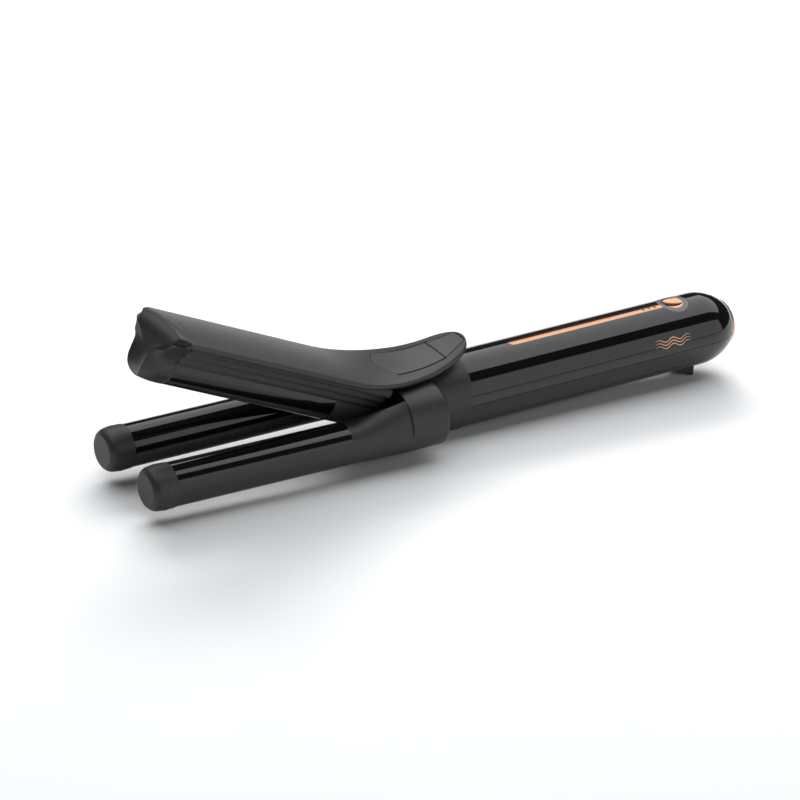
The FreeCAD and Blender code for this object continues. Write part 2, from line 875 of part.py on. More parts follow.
def wing_section(x, drop, depth):
    """A crowned band across the jaw at x: drop below the top, depth thick."""
    sag = wing_slab_half ** 2 / (2 * wing_crown_r)
    top = wing_top_z - drop
    low = top - depth
    return face_of([
        arc(V(x, -wing_slab_half, top - sag), V(x, 0, top), V(x, wing_slab_half, top - sag)),
        line(V(x, wing_slab_half, top - sag), V(x, wing_slab_half, low - sag)),
        arc(V(x, wing_slab_half, low - sag), V(x, 0, low), V(x, -wing_slab_half, low - sag)),
        line(V(x, -wing_slab_half, low - sag), V(x, -wing_slab_half, top - sag)),
    ])


def wing_slab(drop, depth):
    """The crowned band carried along the jaw, round the bend and up the lever."""
    tangent = lever_bend_r * math.tan(math.radians(lever_rise) / 2)
    bend_x = lever_bend_x - tangent
    flat = wing_section(bend_x, drop, depth).extrude(V(nose_tip_x - bend_x, 0, 0))
    centre = V(bend_x, 0, wing_top_z + lever_bend_r)
    bend = wing_section(bend_x, drop, depth).revolve(centre, V(0, 1, 0), -lever_rise)
    end = wing_section(bend_x, drop, depth)
    end.rotate(centre, V(0, 1, 0), -lever_rise)
    rise = math.radians(lever_rise)
    rest_r = lever_bend_r - lever_curl_r
    curl_centre = centre + V(rest_r * math.sin(rise), 0, -rest_r * math.cos(rise))
    lever = end.revolve(curl_centre, V(0, 1, 0), -lever_curl)
    return fuse([flat, bend, lever])


def jaw_plan(front_x):
    """The jaw seen from above: parallel wing, tapering lever, round end."""
    side_mid = V((lever_shoulder_x + lever_end_arc_x) / 2 + 3, 0, 0)
    mid_half = wing_half - (wing_half - lever_end_half) * 0.37
    z = -FAR / 2
    outline = face_of([
        line(V(front_x, -wing_half, z), V(front_x, wing_half, z)),
        line(V(front_x, wing_half, z), V(lever_shoulder_x, wing_half, z)),
        arc(V(lever_shoulder_x, wing_half, z), V(side_mid.x, mid_half, z), V(lever_end_arc_x, lever_end_half, z)),
        arc(V(lever_end_arc_x, lever_end_half, z), V(lever_end_x, 0, z), V(lever_end_arc_x, -lever_end_half, z)),
        arc(V(lever_end_arc_x, -lever_end_half, z), V(side_mid.x, -mid_half, z), V(lever_shoulder_x, -wing_half, z)),
        line(V(lever_shoulder_x, -wing_half, z), V(front_x, -wing_half, z)),
    ])
    return outline.extrude(V(0, 0, FAR))


def pad_plan():
    """The thumb pad seen from above: a bowed front edge and sides that draw in."""
    z = -FAR / 2
    outline = face_of([
        arc(V(pad_shoulder_x, -pad_front_half, z), V(pad_apex_x, 0, z), V(pad_shoulder_x, pad_front_half, z)),
        line(V(pad_shoulder_x, pad_front_half, z), V(pad_seam_x, pad_seam_half, z)),
        line(V(pad_seam_x, pad_seam_half, z), V(pad_seam_x, -pad_seam_half, z)),
        line(V(pad_seam_x, -pad_seam_half, z), V(pad_shoulder_x, -pad_front_half, z)),
    ])
    return outline.extrude(V(0, 0, FAR))


def tip_plan():
    """The lever's end trim seen from above, behind the pad's seam."""
    z = -FAR / 2
    outline = ring_face([
        V(pad_seam_x, -pad_seam_half, z),
        V(pad_seam_x, pad_seam_half, z),
        V(pad_rear_x, pad_rear_half, z),
        V(pad_rear_x, -pad_rear_half, z),
    ])
    return outline.extrude(V(0, 0, FAR))


def thumb_pad():
    """Soft pad let into the lever."""
    return placed(solid(wing_slab(0, pad_depth).common(pad_plan())), JAW)


def lever_end_trim():
    """Trim let into the end of the lever behind the pad."""
    return placed(solid(wing_slab(0, pad_depth).common(tip_plan())), JAW)


def jaw_shell():
    """Crowned wing over the jaw barrel, running back into the thumb lever."""
    shell = wing_slab(0, wing_thickness).common(jaw_plan(jaw_body_front_x))
    layer = wing_slab(0, pad_depth)
    shell = shell.cut(layer.common(pad_plan())).cut(layer.common(tip_plan()))
    return placed(solid(shell), JAW)


def under_wing(x):
    """Half-open outline under the wing: stepped ribs down to the jaw barrel."""
    top = wing_top_z - wing_thickness
    steps = [
        (rib_upper_half, top),
        (rib_upper_half, 11.8),
        (rib_middle_half, 10.2),
        (rib_middle_half, 8.0),
        (rib_lower_half, 6.4),
        (rib_lower_half, 4.2),
        (math.sqrt(jaw_r ** 2 - jaw_plate_edge_z ** 2), jaw_plate_edge_z),
    ]
    right = [V(x, y, z) for y, z in steps]
    left = [V(x, -y, z) for y, z in reversed(steps)]
    return ring_face(right + left)


def jaw_bore(x0, x1):
    """The round space inside the jaw barrel."""
    return rod_x(jaw_r - jaw_wall, x0, x1)


def jaw_plate_blank():
    """The jaw's heating plate in the jaw's frame: the ring below its upper edges."""
    x0 = jaw_plate_front_x
    x1 = jaw_plate_rear_x
    ring = rod_x(jaw_r, x0, x1).cut(jaw_bore(x0, x1))
    return ring.common(box(x0, x1, -jaw_r, jaw_r, -jaw_r, jaw_plate_edge_z))


def jaw_carrier():
    """Jaw frame: ribbed body, barrel ends and the hinge hub with its web."""
    x0 = jaw_body_front_x
    x1 = jaw_body_rear_x
    ribbed = under_wing(x0).extrude(V(x1 - x0, 0, 0))
    barrel = rod_x(jaw_r, x0, x1)
    hub = rod_y(hub_r, -hub_half, hub_half, hinge_setback)
    web = box(x1 - hub_half, web_rear_x, -hub_half, hub_half, 0, wing_top_z + lever_end_x)
    neck = box(x1 - hub_half, hinge_setback, -hub_half, hub_half, -hub_r, hub_r)
    body = fuse([ribbed, barrel, hub, web, neck])
    body = body.common(wing_slab(wing_thickness, FAR / 2))
    body = body.cut(jaw_bore(x0 - 1, jaw_plate_rear_x)).cut(jaw_plate_blank())
    body = body.cut(rod_y(pin_r + pin_gap + bush_wall, -hub_half, hub_half, hinge_setback))
    for x in jaw_screw_places():
        way_in = rod_z(screw_head_r, 0, jaw_r - jaw_wall + screw_head_height, x)
        body = body.cut(fuse([jaw_screw_shape(x), way_in]))
    return placed(solid(body), JAW)


def jaw_heating_plate():
    """Aluminium plate round the underside of the jaw barrel."""
    return placed(solid(jaw_plate_blank()), JAW)


def jaw_heater_blank(length):
    """The jaw's flat heater in the jaw's frame."""
    middle = (jaw_plate_front_x + jaw_plate_rear_x) / 2
    low = -(jaw_r - jaw_wall - heater_setback)
    return box(middle - length / 2, middle + length / 2, -heater_width / 2, heater_width / 2,
               low, low + heater_thickness)


def jaw_core():
    """Spreader inside the jaw barrel."""
    core = rod_x(jaw_r - jaw_wall - core_gap, jaw_plate_front_x, jaw_plate_rear_x - core_front_gap)
    return placed(solid(core.cut(jaw_heater_blank(heater_length + core_front_gap))), JAW)


def jaw_ptc_heater():
    """Ceramic heater of the jaw."""
    return placed(jaw_heater_blank(heater_length), JAW)


def jaw_screw_places():
    """Where the screws that hold the wing to the carrier stand."""
    run = jaw_plate_rear_x - jaw_plate_front_x
    return [jaw_plate_front_x + run * share for share in (0.12, 0.5, 0.88)]


def jaw_screw_shape(x):
    """One screw from the jaw barrel up into the carrier's top wall, below the wing."""
    low = jaw_r - jaw_wall
    high = wing_top_z - wing_thickness - screw_gap - 1
    head = rod_z(screw_head_r, low, low + screw_head_height, x)
    return fuse([head, rod_z(screw_r, low + screw_head_height, high, x)])


def jaw_screws():
    """The three screws inside the jaw."""
    return placed(group([jaw_screw_shape(x) for x in jaw_screw_places()]), JAW)


def nose_side():
    """The nose seen from the side: a hollow brow over a chin that juts forward."""
    x0 = jaw_body_front_x
    y = -FAR / 2
    chin_x = x0 - 7.0
    outline = face_of([
        line(V(x0, y, -jaw_r), V(x0, y, wing_top_z)),
        line(V(x0, y, wing_top_z), V(nose_top_x, y, wing_top_z)),
        arc(V(nose_top_x, y, wing_top_z), V(nose_top_x - 4.4, y, wing_top_z / 2), V(nose_tip_x + 0.8, y, 1.2)),
        arc(V(nose_tip_x + 0.8, y, 1.2), V(nose_tip_x, y, nose_tip_z), V(nose_tip_x + 3.0, y, nose_tip_z - 4.0)),
        arc(V(nose_tip_x + 3.0, y, nose_tip_z - 4.0), V(chin_x - 2.3, y, -jaw_r + 0.6), V(chin_x + 2.5, y, -jaw_r)),
        line(V(chin_x + 2.5, y, -jaw_r), V(x0, y, -jaw_r)),
    ])
    return outline.extrude(V(0, FAR, 0))


def nose_front():
    """The nose seen from the front: wing-wide above, barrel-round below."""
    x = nose_tip_x - 1
    sag = wing_half ** 2 / (2 * wing_crown_r)
    top = wing_top_z - sag
    low = top - wing_thickness
    waist = 2.0
    right = [
        arc(V(x, 0, -jaw_r), V(x, jaw_r * 0.86, -jaw_r * 0.51), V(x, jaw_r, waist)),
        arc(V(x, jaw_r, waist), V(x, jaw_r + 3.1, low - 5.2), V(x, wing_half, low)),
        line(V(x, wing_half, low), V(x, wing_half, top)),
    ]
    crown = [arc(V(x, wing_half, top), V(x, 0, wing_top_z), V(x, -wing_half, top))]
    left = [
        line(V(x, -wing_half, top), V(x, -wing_half, low)),
        arc(V(x, -wing_half, low), V(x, -jaw_r - 3.1, low - 5.2), V(x, -jaw_r, waist)),
        arc(V(x, -jaw_r, waist), V(x, -jaw_r * 0.86, -jaw_r * 0.51), V(x, 0, -jaw_r)),
    ]
    return face_of(right + crown + left).extrude(V(jaw_body_front_x - x, 0, 0))


def nose_plan():
    """The nose seen from above: rounded corners."""
    z = -FAR / 2
    corner = 4.0
    x0 = jaw_body_front_x
    outline = face_of([
        line(V(x0, wing_half, z), V(x0, -wing_half, z)),
        line(V(x0, -wing_half, z), V(nose_top_x + corner, -wing_half, z)),
        arc(V(nose_top_x + corner, -wing_half, z), V(nose_top_x - corner, -wing_half * 0.72, z),
            V(nose_tip_x, 0, z)),
        arc(V(nose_tip_x, 0, z), V(nose_top_x - corner, wing_half * 0.72, z),
            V(nose_top_x + corner, wing_half, z)),
        line(V(nose_top_x + corner, wing_half, z), V(x0, wing_half, z)),
    ])
    return outline.extrude(V(0, 0, FAR))


def jaw_nose():
    """Cool tip of the jaw."""
    return placed(solid(nose_front().common(nose_side()).common(nose_plan())), JAW)


# ---------------------------------------------------------------- all parts

SIDES = {"left": -1, "right": 1}


def all_parts():
    """Every node's name and shape, as the tool is drawn."""
    parts = {
        "handle_upper_shell": handle_upper_shell(),
        "handle_lower_shell": handle_lower_shell(),
        "handle_screws": handle_screws(),
        "accent_strip": accent_strip(),
        "led_light_pipes": led_light_pipes(),
        "led_chips": led_chips(),
        "button_bezel": button_bezel(),
        "power_button": power_button(),
        "main_circuit_board": main_circuit_board(),
        "tact_switch": tact_switch(),
        "battery_cell_front": battery_cell(0),
        "battery_cell_rear": battery_cell(1),
        "battery_cradle": battery_cradle(),
        "charging_socket": charging_socket(),
        "socket_pin": socket_pin(),
        "end_disc": end_disc(),
        "rear_foot": rear_foot(),
        "front_collar": front_collar(),
        "yoke_housing": yoke_housing(),
        "yoke_screws": yoke_screws(),
        "hinge_pin": hinge_pin(),
        "hinge_bushes": hinge_bushes(),
        "jaw_spring": jaw_spring(),
        "jaw_shell": jaw_shell(),
        "jaw_nose": jaw_nose(),
        "jaw_carrier": jaw_carrier(),
        "jaw_heating_plate": jaw_heating_plate(),
        "jaw_core": jaw_core(),
        "jaw_ptc_heater": jaw_ptc_heater(),
        "jaw_screws": jaw_screws(),
        "thumb_pad": thumb_pad(),
        "lever_end_trim": lever_end_trim(),
    }
    for name, side in SIDES.items():
        parts["barrel_casing_" + name] = barrel_casing(side)
        parts["heating_plate_" + name] = heating_plate(side)
        parts["barrel_core_" + name] = barrel_core(side)
        parts["ptc_heater_" + name] = ptc_heater(side)
        parts["tip_cap_" + name] = tip_cap(side)
        parts["yoke_cover_" + name] = yoke_cover(side)
    return parts


def rest_placement(parts):
    """Stand the tool on its tip caps and foot, and centre it over the origin."""
    turn = FreeCAD.Rotation(V(0, 1, 0), -math.degrees(rest_fall()))
    spun = FreeCAD.Placement(V(0, 0, 0), turn)
    boxes = [placed(p, spun).optimalBoundingBox(False) for p in parts.values()]
    x_mid = (min(b.XMin for b in boxes) + max(b.XMax for b in boxes)) / 2
    y_mid = (min(b.YMin for b in boxes) + max(b.YMax for b in boxes)) / 2
    z_low = min(b.ZMin for b in boxes)
    return FreeCAD.Placement(V(-x_mid, -y_mid, -z_low), turn)


def main():
    """Write one STEP file for each node."""
    os.makedirs("parts", exist_ok=True)
    parts = all_parts()
    rest = rest_placement(parts)
    for name, shape in parts.items():
        stood = placed(shape, rest)
        stood.exportStep(os.path.join("parts", name + ".step"))
        print(name, len(stood.Solids), round(stood.Volume, 1), stood.isValid())
    print("hinge at", rest.multVec(PIVOT))


if __name__ == "__main__":
    main()
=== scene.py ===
"""Looks of a cordless hair waver: gloss handle, two fixed lower barrels and a hinged upper jaw.

Lengths in the classes are millimetres in the tool's own drawing frame, whose X axis is the
handle's axis with the barrel tips at -X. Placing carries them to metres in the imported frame.
"""
import json
import logging
import math
from dataclasses import dataclass, field
from enum import Enum
from typing import Any, Callable, Iterable

import bpy
import numpy as np
from mathutils import Matrix, Vector


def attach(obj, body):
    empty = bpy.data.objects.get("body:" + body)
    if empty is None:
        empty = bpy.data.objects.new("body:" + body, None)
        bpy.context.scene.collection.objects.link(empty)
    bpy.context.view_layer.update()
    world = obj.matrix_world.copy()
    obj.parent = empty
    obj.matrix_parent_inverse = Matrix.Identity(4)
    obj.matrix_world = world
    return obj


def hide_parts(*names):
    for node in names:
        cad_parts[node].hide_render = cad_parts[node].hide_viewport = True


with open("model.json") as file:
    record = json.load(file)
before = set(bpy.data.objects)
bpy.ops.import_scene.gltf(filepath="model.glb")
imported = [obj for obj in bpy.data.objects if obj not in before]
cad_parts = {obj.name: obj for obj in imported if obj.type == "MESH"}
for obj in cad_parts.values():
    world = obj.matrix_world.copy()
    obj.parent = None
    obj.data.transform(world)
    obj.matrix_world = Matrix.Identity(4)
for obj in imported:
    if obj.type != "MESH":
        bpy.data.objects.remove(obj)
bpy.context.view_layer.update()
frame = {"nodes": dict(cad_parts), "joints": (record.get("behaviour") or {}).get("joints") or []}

LOG = logging.getLogger("waver")
MM = 0.001


class Body(str, Enum):
    """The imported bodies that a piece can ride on."""

    ROOT = "root"
    JAW = "jaw"
    BUTTON = "power_button"


# ------------------------------------------------------------------ frames and meshes

@dataclass
class Placing:
    """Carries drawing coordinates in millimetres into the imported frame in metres."""

    jaw_origin_x: float = -12.0
    hinge_setback: float = 2.0
    jaw_open_deg: float = 24.3
    fall: float = field(init=False)
    shift: np.ndarray = field(init=False)

    def __post_init__(self) -> None:
        """Reads the fall from the button's axis and the place from the hinge."""
        joints = {j["name"]: j for j in frame["joints"]}
        axis = joints["power_button_press"]["axis"]
        self.fall = math.atan2(axis[0], -axis[2])
        pin = self.turn(np.array([[self.hinge_setback, 0.0, 0.0]]), math.radians(self.jaw_open_deg))
        pin[:, 0] += self.jaw_origin_x
        pivot = np.array(joints["jaw_hinge"]["pos_m"]) / MM
        self.shift = pivot - self.turn(pin, -self.fall)[0]

    @staticmethod
    def turn(points: np.ndarray, angle: float) -> np.ndarray:
        """Turns points about Y: x = x cos + z sin, z = z cos - x sin."""
        x, y, z = points[..., 0], points[..., 1], points[..., 2]
        return np.stack([x * math.cos(angle) + z * math.sin(angle), y,
                         z * math.cos(angle) - x * math.sin(angle)], axis=-1)

    def tool(self, points: np.ndarray) -> np.ndarray:
        """Places points of the drawing frame."""
        return (self.turn(points, -self.fall) + self.shift) * MM

    def jaw(self, points: np.ndarray) -> np.ndarray:
        """Places points of the jaw's frame, whose X axis is the jaw barrel's."""
        moved = self.turn(points, math.radians(self.jaw_open_deg))
        moved[..., 0] += self.jaw_origin_x
        return self.tool(moved)


def smooth_step(value: np.ndarray) -> np.ndarray:
    """Eases 0 to 1: 3t^2 - 2t^3, with t held between 0 and 1."""
    t = np.clip(value, 0.0, 1.0)
    return t * t * (3.0 - 2.0 * t)


def unit(vectors: np.ndarray) -> np.ndarray:
    """Scales vectors to length one."""
    return vectors / np.maximum(np.linalg.norm(vectors, axis=-1, keepdims=True), 1e-12)


def grid_faces(rows: int, columns: int, wrap_rows: bool = False,
               wrap_columns: bool = False) -> np.ndarray:
    """Quads between the neighbouring points of a grid that is stored row by row."""
    i = np.arange(rows if wrap_rows else rows - 1)[:, None]
    j = np.arange(columns if wrap_columns else columns - 1)[None, :]
    i2, j2 = (i + 1) % rows, (j + 1) % columns
    quads = [i * columns + j, i * columns + j2, i2 * columns + j2, i2 * columns + j]
    return np.stack(quads, axis=-1).reshape(-1, 4)


def make_piece(name: str, points: np.ndarray, faces: list,
               sharp_deg: float = 40.0) -> bpy.types.Object:
    """Makes a closed piece with outward faces.

    Args:
        name: The piece's name.
        points: Vertices in metres, as rows of three.
        faces: Vertex indices of each face.
        sharp_deg: Edges that turn more than this stay sharp.

    Returns:
        The new object, at the origin.
    """
    mesh = bpy.data.meshes.new(name)
    mesh.from_pydata(points.tolist(), [], faces)
    mesh.update()
    mesh.calc_loop_triangles()
    tris = np.zeros(len(mesh.loop_triangles) * 3, np.int32)
    mesh.loop_triangles.foreach_get("vertices", tris)
    a, b, c = (points[tris.reshape(-1, 3)[:, k]] for k in range(3))
    if np.einsum("ij,ij->i", a, np.cross(b, c)).sum() < 0:
        mesh.flip_normals()
    mesh.polygons.foreach_set("use_smooth", np.ones(len(mesh.polygons), bool))
    mesh.set_sharp_from_angle(angle=math.radians(sharp_deg))
    mesh.update()
    piece = bpy.data.objects.new(name, mesh)
    bpy.context.scene.collection.objects.link(piece)
    return piece


def loft(name: str, rings: np.ndarray, sharp_deg: float = 40.0) -> bpy.types.Object:
    """Skins closed rings in order and closes both ends with a fan round their middles.

    Args:
        name: The piece's name.
        rings: Points as rings, points of a ring, xyz, in metres.
        sharp_deg: Edges that turn more than this stay sharp.

    Returns:
        The closed piece.
    """
    count, around = rings.shape[:2]
    faces = grid_faces(count, around, wrap_columns=True).tolist()
    points = np.concatenate([rings.reshape(-1, 3), rings[0].mean(0)[None], rings[-1].mean(0)[None]])
    ring = np.arange(around)
    after = (ring + 1) % around
    first, last = count * around, count * around + 1
    base = (count - 1) * around
    faces += np.stack([after, ring, np.full(around, first)], axis=1).tolist()
    faces += np.stack([base + ring, base + after, np.full(around, last)], axis=1).tolist()
    return make_piece(name, points, faces, sharp_deg)


def hoop(name: str, loops: np.ndarray, sharp_deg: float = 40.0) -> bpy.types.Object:
    """Skins rings that close on themselves both ways, such as a washer or a tube wall."""
    rows, columns = loops.shape[:2]
    faces = grid_faces(rows, columns, True, True).tolist()
    return make_piece(name, loops.reshape(-1, 3), faces, sharp_deg)


def slab(name: str, top: np.ndarray, base: np.ndarray, up: np.ndarray, thickness: float,
         edge_r: float, place: Callable[[np.ndarray], np.ndarray], steps: int = 4,
         sharp_deg: float = 40.0) -> bpy.types.Object:
    """A plate with a rounded rim that follows a grid.

    The rim leaves the top grid's border on a quarter circle outwards and down, runs down the
    plate's edge and turns back in on another quarter circle under it.

    Args:
        name: The piece's name.
        top: The top surface's grid in millimetres, its border edge_r inside the plate's edge.
        base: The same grid without any recess, from which the underside is measured.
        up: Unit normals of base.
        thickness: From base to the underside.
        edge_r: Radius of the rim's two roundings.
        place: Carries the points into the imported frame.
        steps: Segments of each rounding.
        sharp_deg: Edges that turn more than this stay sharp.

    Returns:
        The closed piece.
    """
    rows, columns = top.shape[:2]
    grid = np.arange(rows * columns).reshape(rows, columns)
    border = np.concatenate([grid[0, :-1], grid[:-1, -1], grid[-1, :0:-1], grid[:0:-1, 0]])
    flat, normals = base.reshape(-1, 3), up.reshape(-1, 3)
    line, lift = flat[border], normals[border]
    along = unit(np.roll(line, -1, 0) - line) + unit(line - np.roll(line, 1, 0))
    out = unit(np.cross(unit(along), lift))
    if np.einsum("ij,ij->i", out, line - line.mean(0)).sum() < 0:
        out = -out
    turn = np.linspace(0, math.pi / 2, steps + 1)[1:]
    rings = [line + edge_r * (out * math.sin(a) - lift * (1 - math.cos(a))) for a in turn]
    low = thickness - 2 * edge_r
    rings += [line + edge_r * (out * math.cos(a) - lift * (1 + math.sin(a))) - lift * low
              for a in [0.0, *turn[:-1]]]
    under = flat - normals * thickness
    total = rows * columns
    points = np.concatenate([top.reshape(-1, 3), under] + rings)
    faces = grid_faces(rows, columns).tolist()
    faces += (grid_faces(rows, columns)[:, ::-1] + total).tolist()
    count = len(border)
    rims = [2 * total + k * count + np.arange(count) for k in range(len(rings))]
    loops = [border] + rims + [border + total]
    for upper, lower in zip(loops[:-1], loops[1:]):
        faces += np.stack([upper, lower, np.roll(lower, -1), np.roll(upper, -1)], axis=1).tolist()
    return make_piece(name, place(points), faces, sharp_deg)


def polyline(parts: Iterable[np.ndarray], count: int) -> np.ndarray:
    """Joins lines of points and spaces count points evenly along the whole."""
    line = np.concatenate(list(parts))
    keep = np.concatenate([[True], np.linalg.norm(np.diff(line, axis=0), axis=1) > 1e-6])
    line = line[keep]
    run = np.concatenate([[0.0], np.cumsum(np.linalg.norm(np.diff(line, axis=0), axis=1))])
    spots = np.linspace(0, run[-1], count)
    return np.stack([np.interp(spots, run, line[:, k]) for k in range(line.shape[1])], axis=1)


def bend_line(a: tuple, b: tuple, c: tuple, count: int = 24) -> np.ndarray:
    """A quadratic curve from a to c that leans towards b: (1-t)^2 a + 2t(1-t) b + t^2 c."""
    t = np.linspace(0, 1, count)[:, None]
    return (1 - t) ** 2 * np.array(a) + 2 * t * (1 - t) * np.array(b) + t ** 2 * np.array(c)


def fit_in(piece: bpy.types.Object, body: Body, slot: str, finish: "Finish",
           *nodes: str) -> bpy.types.Object:
    """Rides a new piece on its body, gives it its finish and hides the nodes it stands for."""
    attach(piece, body.value)
    if nodes:
        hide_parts(*nodes)
    piece.data.materials.clear()
    piece.data.materials.append(finish.material())
    LOG.info("%s: %d faces on %s", piece.name, len(piece.data.polygons), body.value)
    return piece


# ------------------------------------------------------------------ shader maths

class Sum:
    """Wraps a shader socket so that arithmetic on it adds Math nodes."""

    def __init__(self, maker: "Maker", socket: Any) -> None:
        """Keeps the node maker and the socket."""
        self.maker = maker
        self.socket = socket

    def _math(self, operation: str, *values: Any) -> "Sum":
        """Adds one Math node."""
        return self.maker.add("ShaderNodeMath", {"operation": operation}, dict(enumerate(values)))

    def __add__(self, other: Any) -> "Sum":
        """Adds."""
        return self._math("ADD", self, other)

    __radd__ = __add__

    def __sub__(self, other: Any) -> "Sum":
        """Subtracts."""
        return self._math("SUBTRACT", self, other)

    def __rsub__(self, other: Any) -> "Sum":
        """Subtracts from the other."""
        return self._math("SUBTRACT", other, self)

    def __mul__(self, other: Any) -> "Sum":
        """Multiplies."""
        return self._math("MULTIPLY", self, other)

    __rmul__ = __mul__

    def __truediv__(self, other: Any) -> "Sum":
        """Divides."""
        return self._math("DIVIDE", self, other)

    def over(self, low: float, high: float) -> "Sum":
        """0 below low, 1 above high, eased between."""
        return self.maker.add("ShaderNodeMapRange", {"interpolation_type": "SMOOTHSTEP"},
                              {"Value": self, "From Min": low, "From Max": high})

    def call(self, operation: str, *others: Any) -> "Sum":
        """Any other Math operation on this value."""
        return self._math(operation, self, *others)


class Maker:
    """Adds the nodes of one material."""

    def __init__(self, name: str) -> None:
        """Starts a material with only its output."""
        self.material = bpy.data.materials.new(name)
        self.material.use_nodes = True
        self.tree = self.material.node_tree
        self.tree.nodes.clear()

    def add(self, kind: str, settings: dict | None = None, values: dict | None = None,
            out: int | str = 0) -> Sum:
        """Adds a node.

        Args:
            kind: The node's type.
            settings: Its properties, set before its sockets.
            values: Values or links of its sockets, by name or number.
            out: The output wanted, by name or number.

        Returns:
            That output, wrapped.
        """
        node = self.tree.nodes.new(kind)
        for key, value in (settings or {}).items():
            setattr(node, key, value)
        for key, value in (values or {}).items():
            if isinstance(value, Sum):
                self.tree.links.new(value.socket, node.inputs[key])
            else:
                node.inputs[key].default_value = value
        return Sum(self, node.outputs[out])

    def place(self) -> Sum:
        """The surface point in metres."""
        return self.add("ShaderNodeTexCoord", out="Object")

    def noise(self, scale: float, detail: float = 2.0, stretch: tuple = (1.0, 1.0, 1.0)) -> Sum:
        """Cloudy noise at a scale in cells per metre, stretched along the axes."""
        where = self.add("ShaderNodeMapping", {}, {"Vector": self.place(), "Scale": stretch})
        values = {"Vector": where, "Scale": scale, "Detail": detail}
        return self.add("ShaderNodeTexNoise", {}, values, "Fac")

    def blend(self, factor: Any, a: Any, b: Any) -> Sum:
        """Mixes two colours."""
        first, second = (c if isinstance(c, Sum) else (*c, 1.0) for c in (a, b))
        return self.add("ShaderNodeMix", {"data_type": "RGBA"}, {0: factor, 6: first, 7: second}, 2)

    def bump(self, height: Sum, strength: float, distance: float) -> Sum:
        """A Bump node for the shader's Normal."""
        values = {"Height": height, "Strength": strength, "Distance": distance}
        return self.add("ShaderNodeBump", {}, values, "Normal")

    def finish(self, values: dict) -> bpy.types.Material:
        """Closes the material with a Principled shader."""
        shader = self.add("ShaderNodeBsdfPrincipled", {}, values, "BSDF")
        self.add_output(shader)
        return self.material

    def add_output(self, shader: Sum) -> None:
        """Links the shader to the material's output."""
        node = self.tree.nodes.new("ShaderNodeOutputMaterial")
        self.tree.links.new(shader.socket, node.inputs["Surface"])


@dataclass(frozen=True)
class Finish:
    """A moulded or machined surface with fine grain and slight unevenness of colour and gloss."""

    name: str
    colour: tuple
    roughness: float = 0.4
    metallic: float = 0.0
    grain: float = 0.0
    grain_scale: float = 5000.0
    grain_depth: float = 0.00002
    patch_scale: float = 160.0
    gloss_scale: float = 320.0
    mottle: float = 0.12
    uneven: float = 0.06
    stretch: tuple = (1.0, 1.0, 1.0)

    def material(self) -> bpy.types.Material:
        """The finish as a material, made once."""
        return bpy.data.materials.get(self.name) or self.build()

    def base(self, maker: Maker) -> Sum:
        """The colour, a little lighter and darker in soft patches."""
        patches = maker.noise(self.patch_scale, 3.0)
        light = tuple(c * (1 + self.mottle) for c in self.colour)
        dark = tuple(c * (1 - self.mottle) for c in self.colour)
        return maker.blend(patches, dark, light)

    def normal(self, maker: Maker) -> Sum | None:
        """Fine grain, if the finish has any."""
        if self.grain <= 0:
            return None
        grain = maker.noise(self.grain_scale, 2.0, self.stretch)
        return maker.bump(grain, self.grain, self.grain_depth)

    def build(self) -> bpy.types.Material:
        """Makes the material's nodes."""
        maker = Maker(self.name)
        rough = maker.noise(self.gloss_scale, 4.0, self.stretch)
        rough = rough * (2 * self.uneven) + (self.roughness - self.uneven)
        values: dict = {"Base Color": self.base(maker), "Roughness": rough,
                        "Metallic": self.metallic}
        normal = self.normal(maker)
        if normal:
            values["Normal"] = normal
        return maker.finish(values)


@dataclass(frozen=True)
class StripWithPaintedShade(Finish):
    """Rose gold whose facet beyond the tool's middle line carries painted shade, a darker copper."""

    far_painted_shade: tuple = (0.075, 0.020, 0.009)

    def base(self, maker: Maker) -> Sum:
        """Rose gold with fine drawn lines on the -Y facet; painted shade in dark copper on the +Y facet."""
        split = maker.add("ShaderNodeSeparateXYZ", {}, {0: maker.place()}, "Y")
        lines = maker.noise(900.0, 3.0, (0.05, 1.0, 1.0))
        near = maker.blend(lines, tuple(c * 0.86 for c in self.colour), self.colour)
        # Painted shade: the +Y facet is coloured dark copper, standing in for the dark room in front that
        # it would mirror.
        return maker.blend(split.over(-0.00005, 0.00015), near, self.far_painted_shade)


@dataclass(frozen=True)
class TickedRing(Finish):
    """Grey satin ring with fine radial ticks round the button."""

    centre: tuple = (0.0, 0.0, 0.0)
    fall: float = 0.0
    ticks: int = 44

    def build(self) -> bpy.types.Material:
        """Ticks come from the sine of the angle round the button's axis."""
        maker = Maker(self.name)
        where = maker.add("ShaderNodeMapping", {"vector_type": "TEXTURE"},
                          {"Vector": maker.place(), "Location": self.centre,
                           "Rotation": (0.0, self.fall, 0.0)})
        x = maker.add("ShaderNodeSeparateXYZ", {}, {0: where}, "X")
        y = maker.add("ShaderNodeSeparateXYZ", {}, {0: where}, "Y")
        wave = (y.call("ARCTAN2", x) * float(self.ticks)).call("SINE")
        tick = wave.over(0.25, 0.75)
        radius = (x * x + y * y).call("SQRT")
        band = radius.over(0.0060, 0.0062) * (1 - radius.over(0.0074, 0.0076))
        mark = tick * band
        dark = tuple(c * 0.35 for c in self.colour)
        colour = maker.blend(mark, self.colour, dark)
        values = {"Base Color": colour, "Roughness": mark * 0.2 + self.roughness, "Metallic": self.metallic,
                  "Normal": maker.bump(1 - mark, 0.6, 0.00008)}
        return maker.finish(values)


@dataclass(frozen=True)
class TurnedMetal(Finish):
    """Metal with fine concentric turning lines about the handle's axis."""

    axis_height: float = 0.03

    def normal(self, maker: Maker) -> Sum:
        """Rings at equal distances from the axis."""
        x = maker.add("ShaderNodeSeparateXYZ", {}, {0: maker.place()}, "Y")
        z = maker.add("ShaderNodeSeparateXYZ", {}, {0: maker.place()}, "Z") - self.axis_height
        radius = (x * x + z * z).call("SQRT")
        return maker.bump((radius * 30000.0).call("SINE"), 0.25, 0.00001)


ROSE_GOLD = (0.58, 0.30, 0.18)


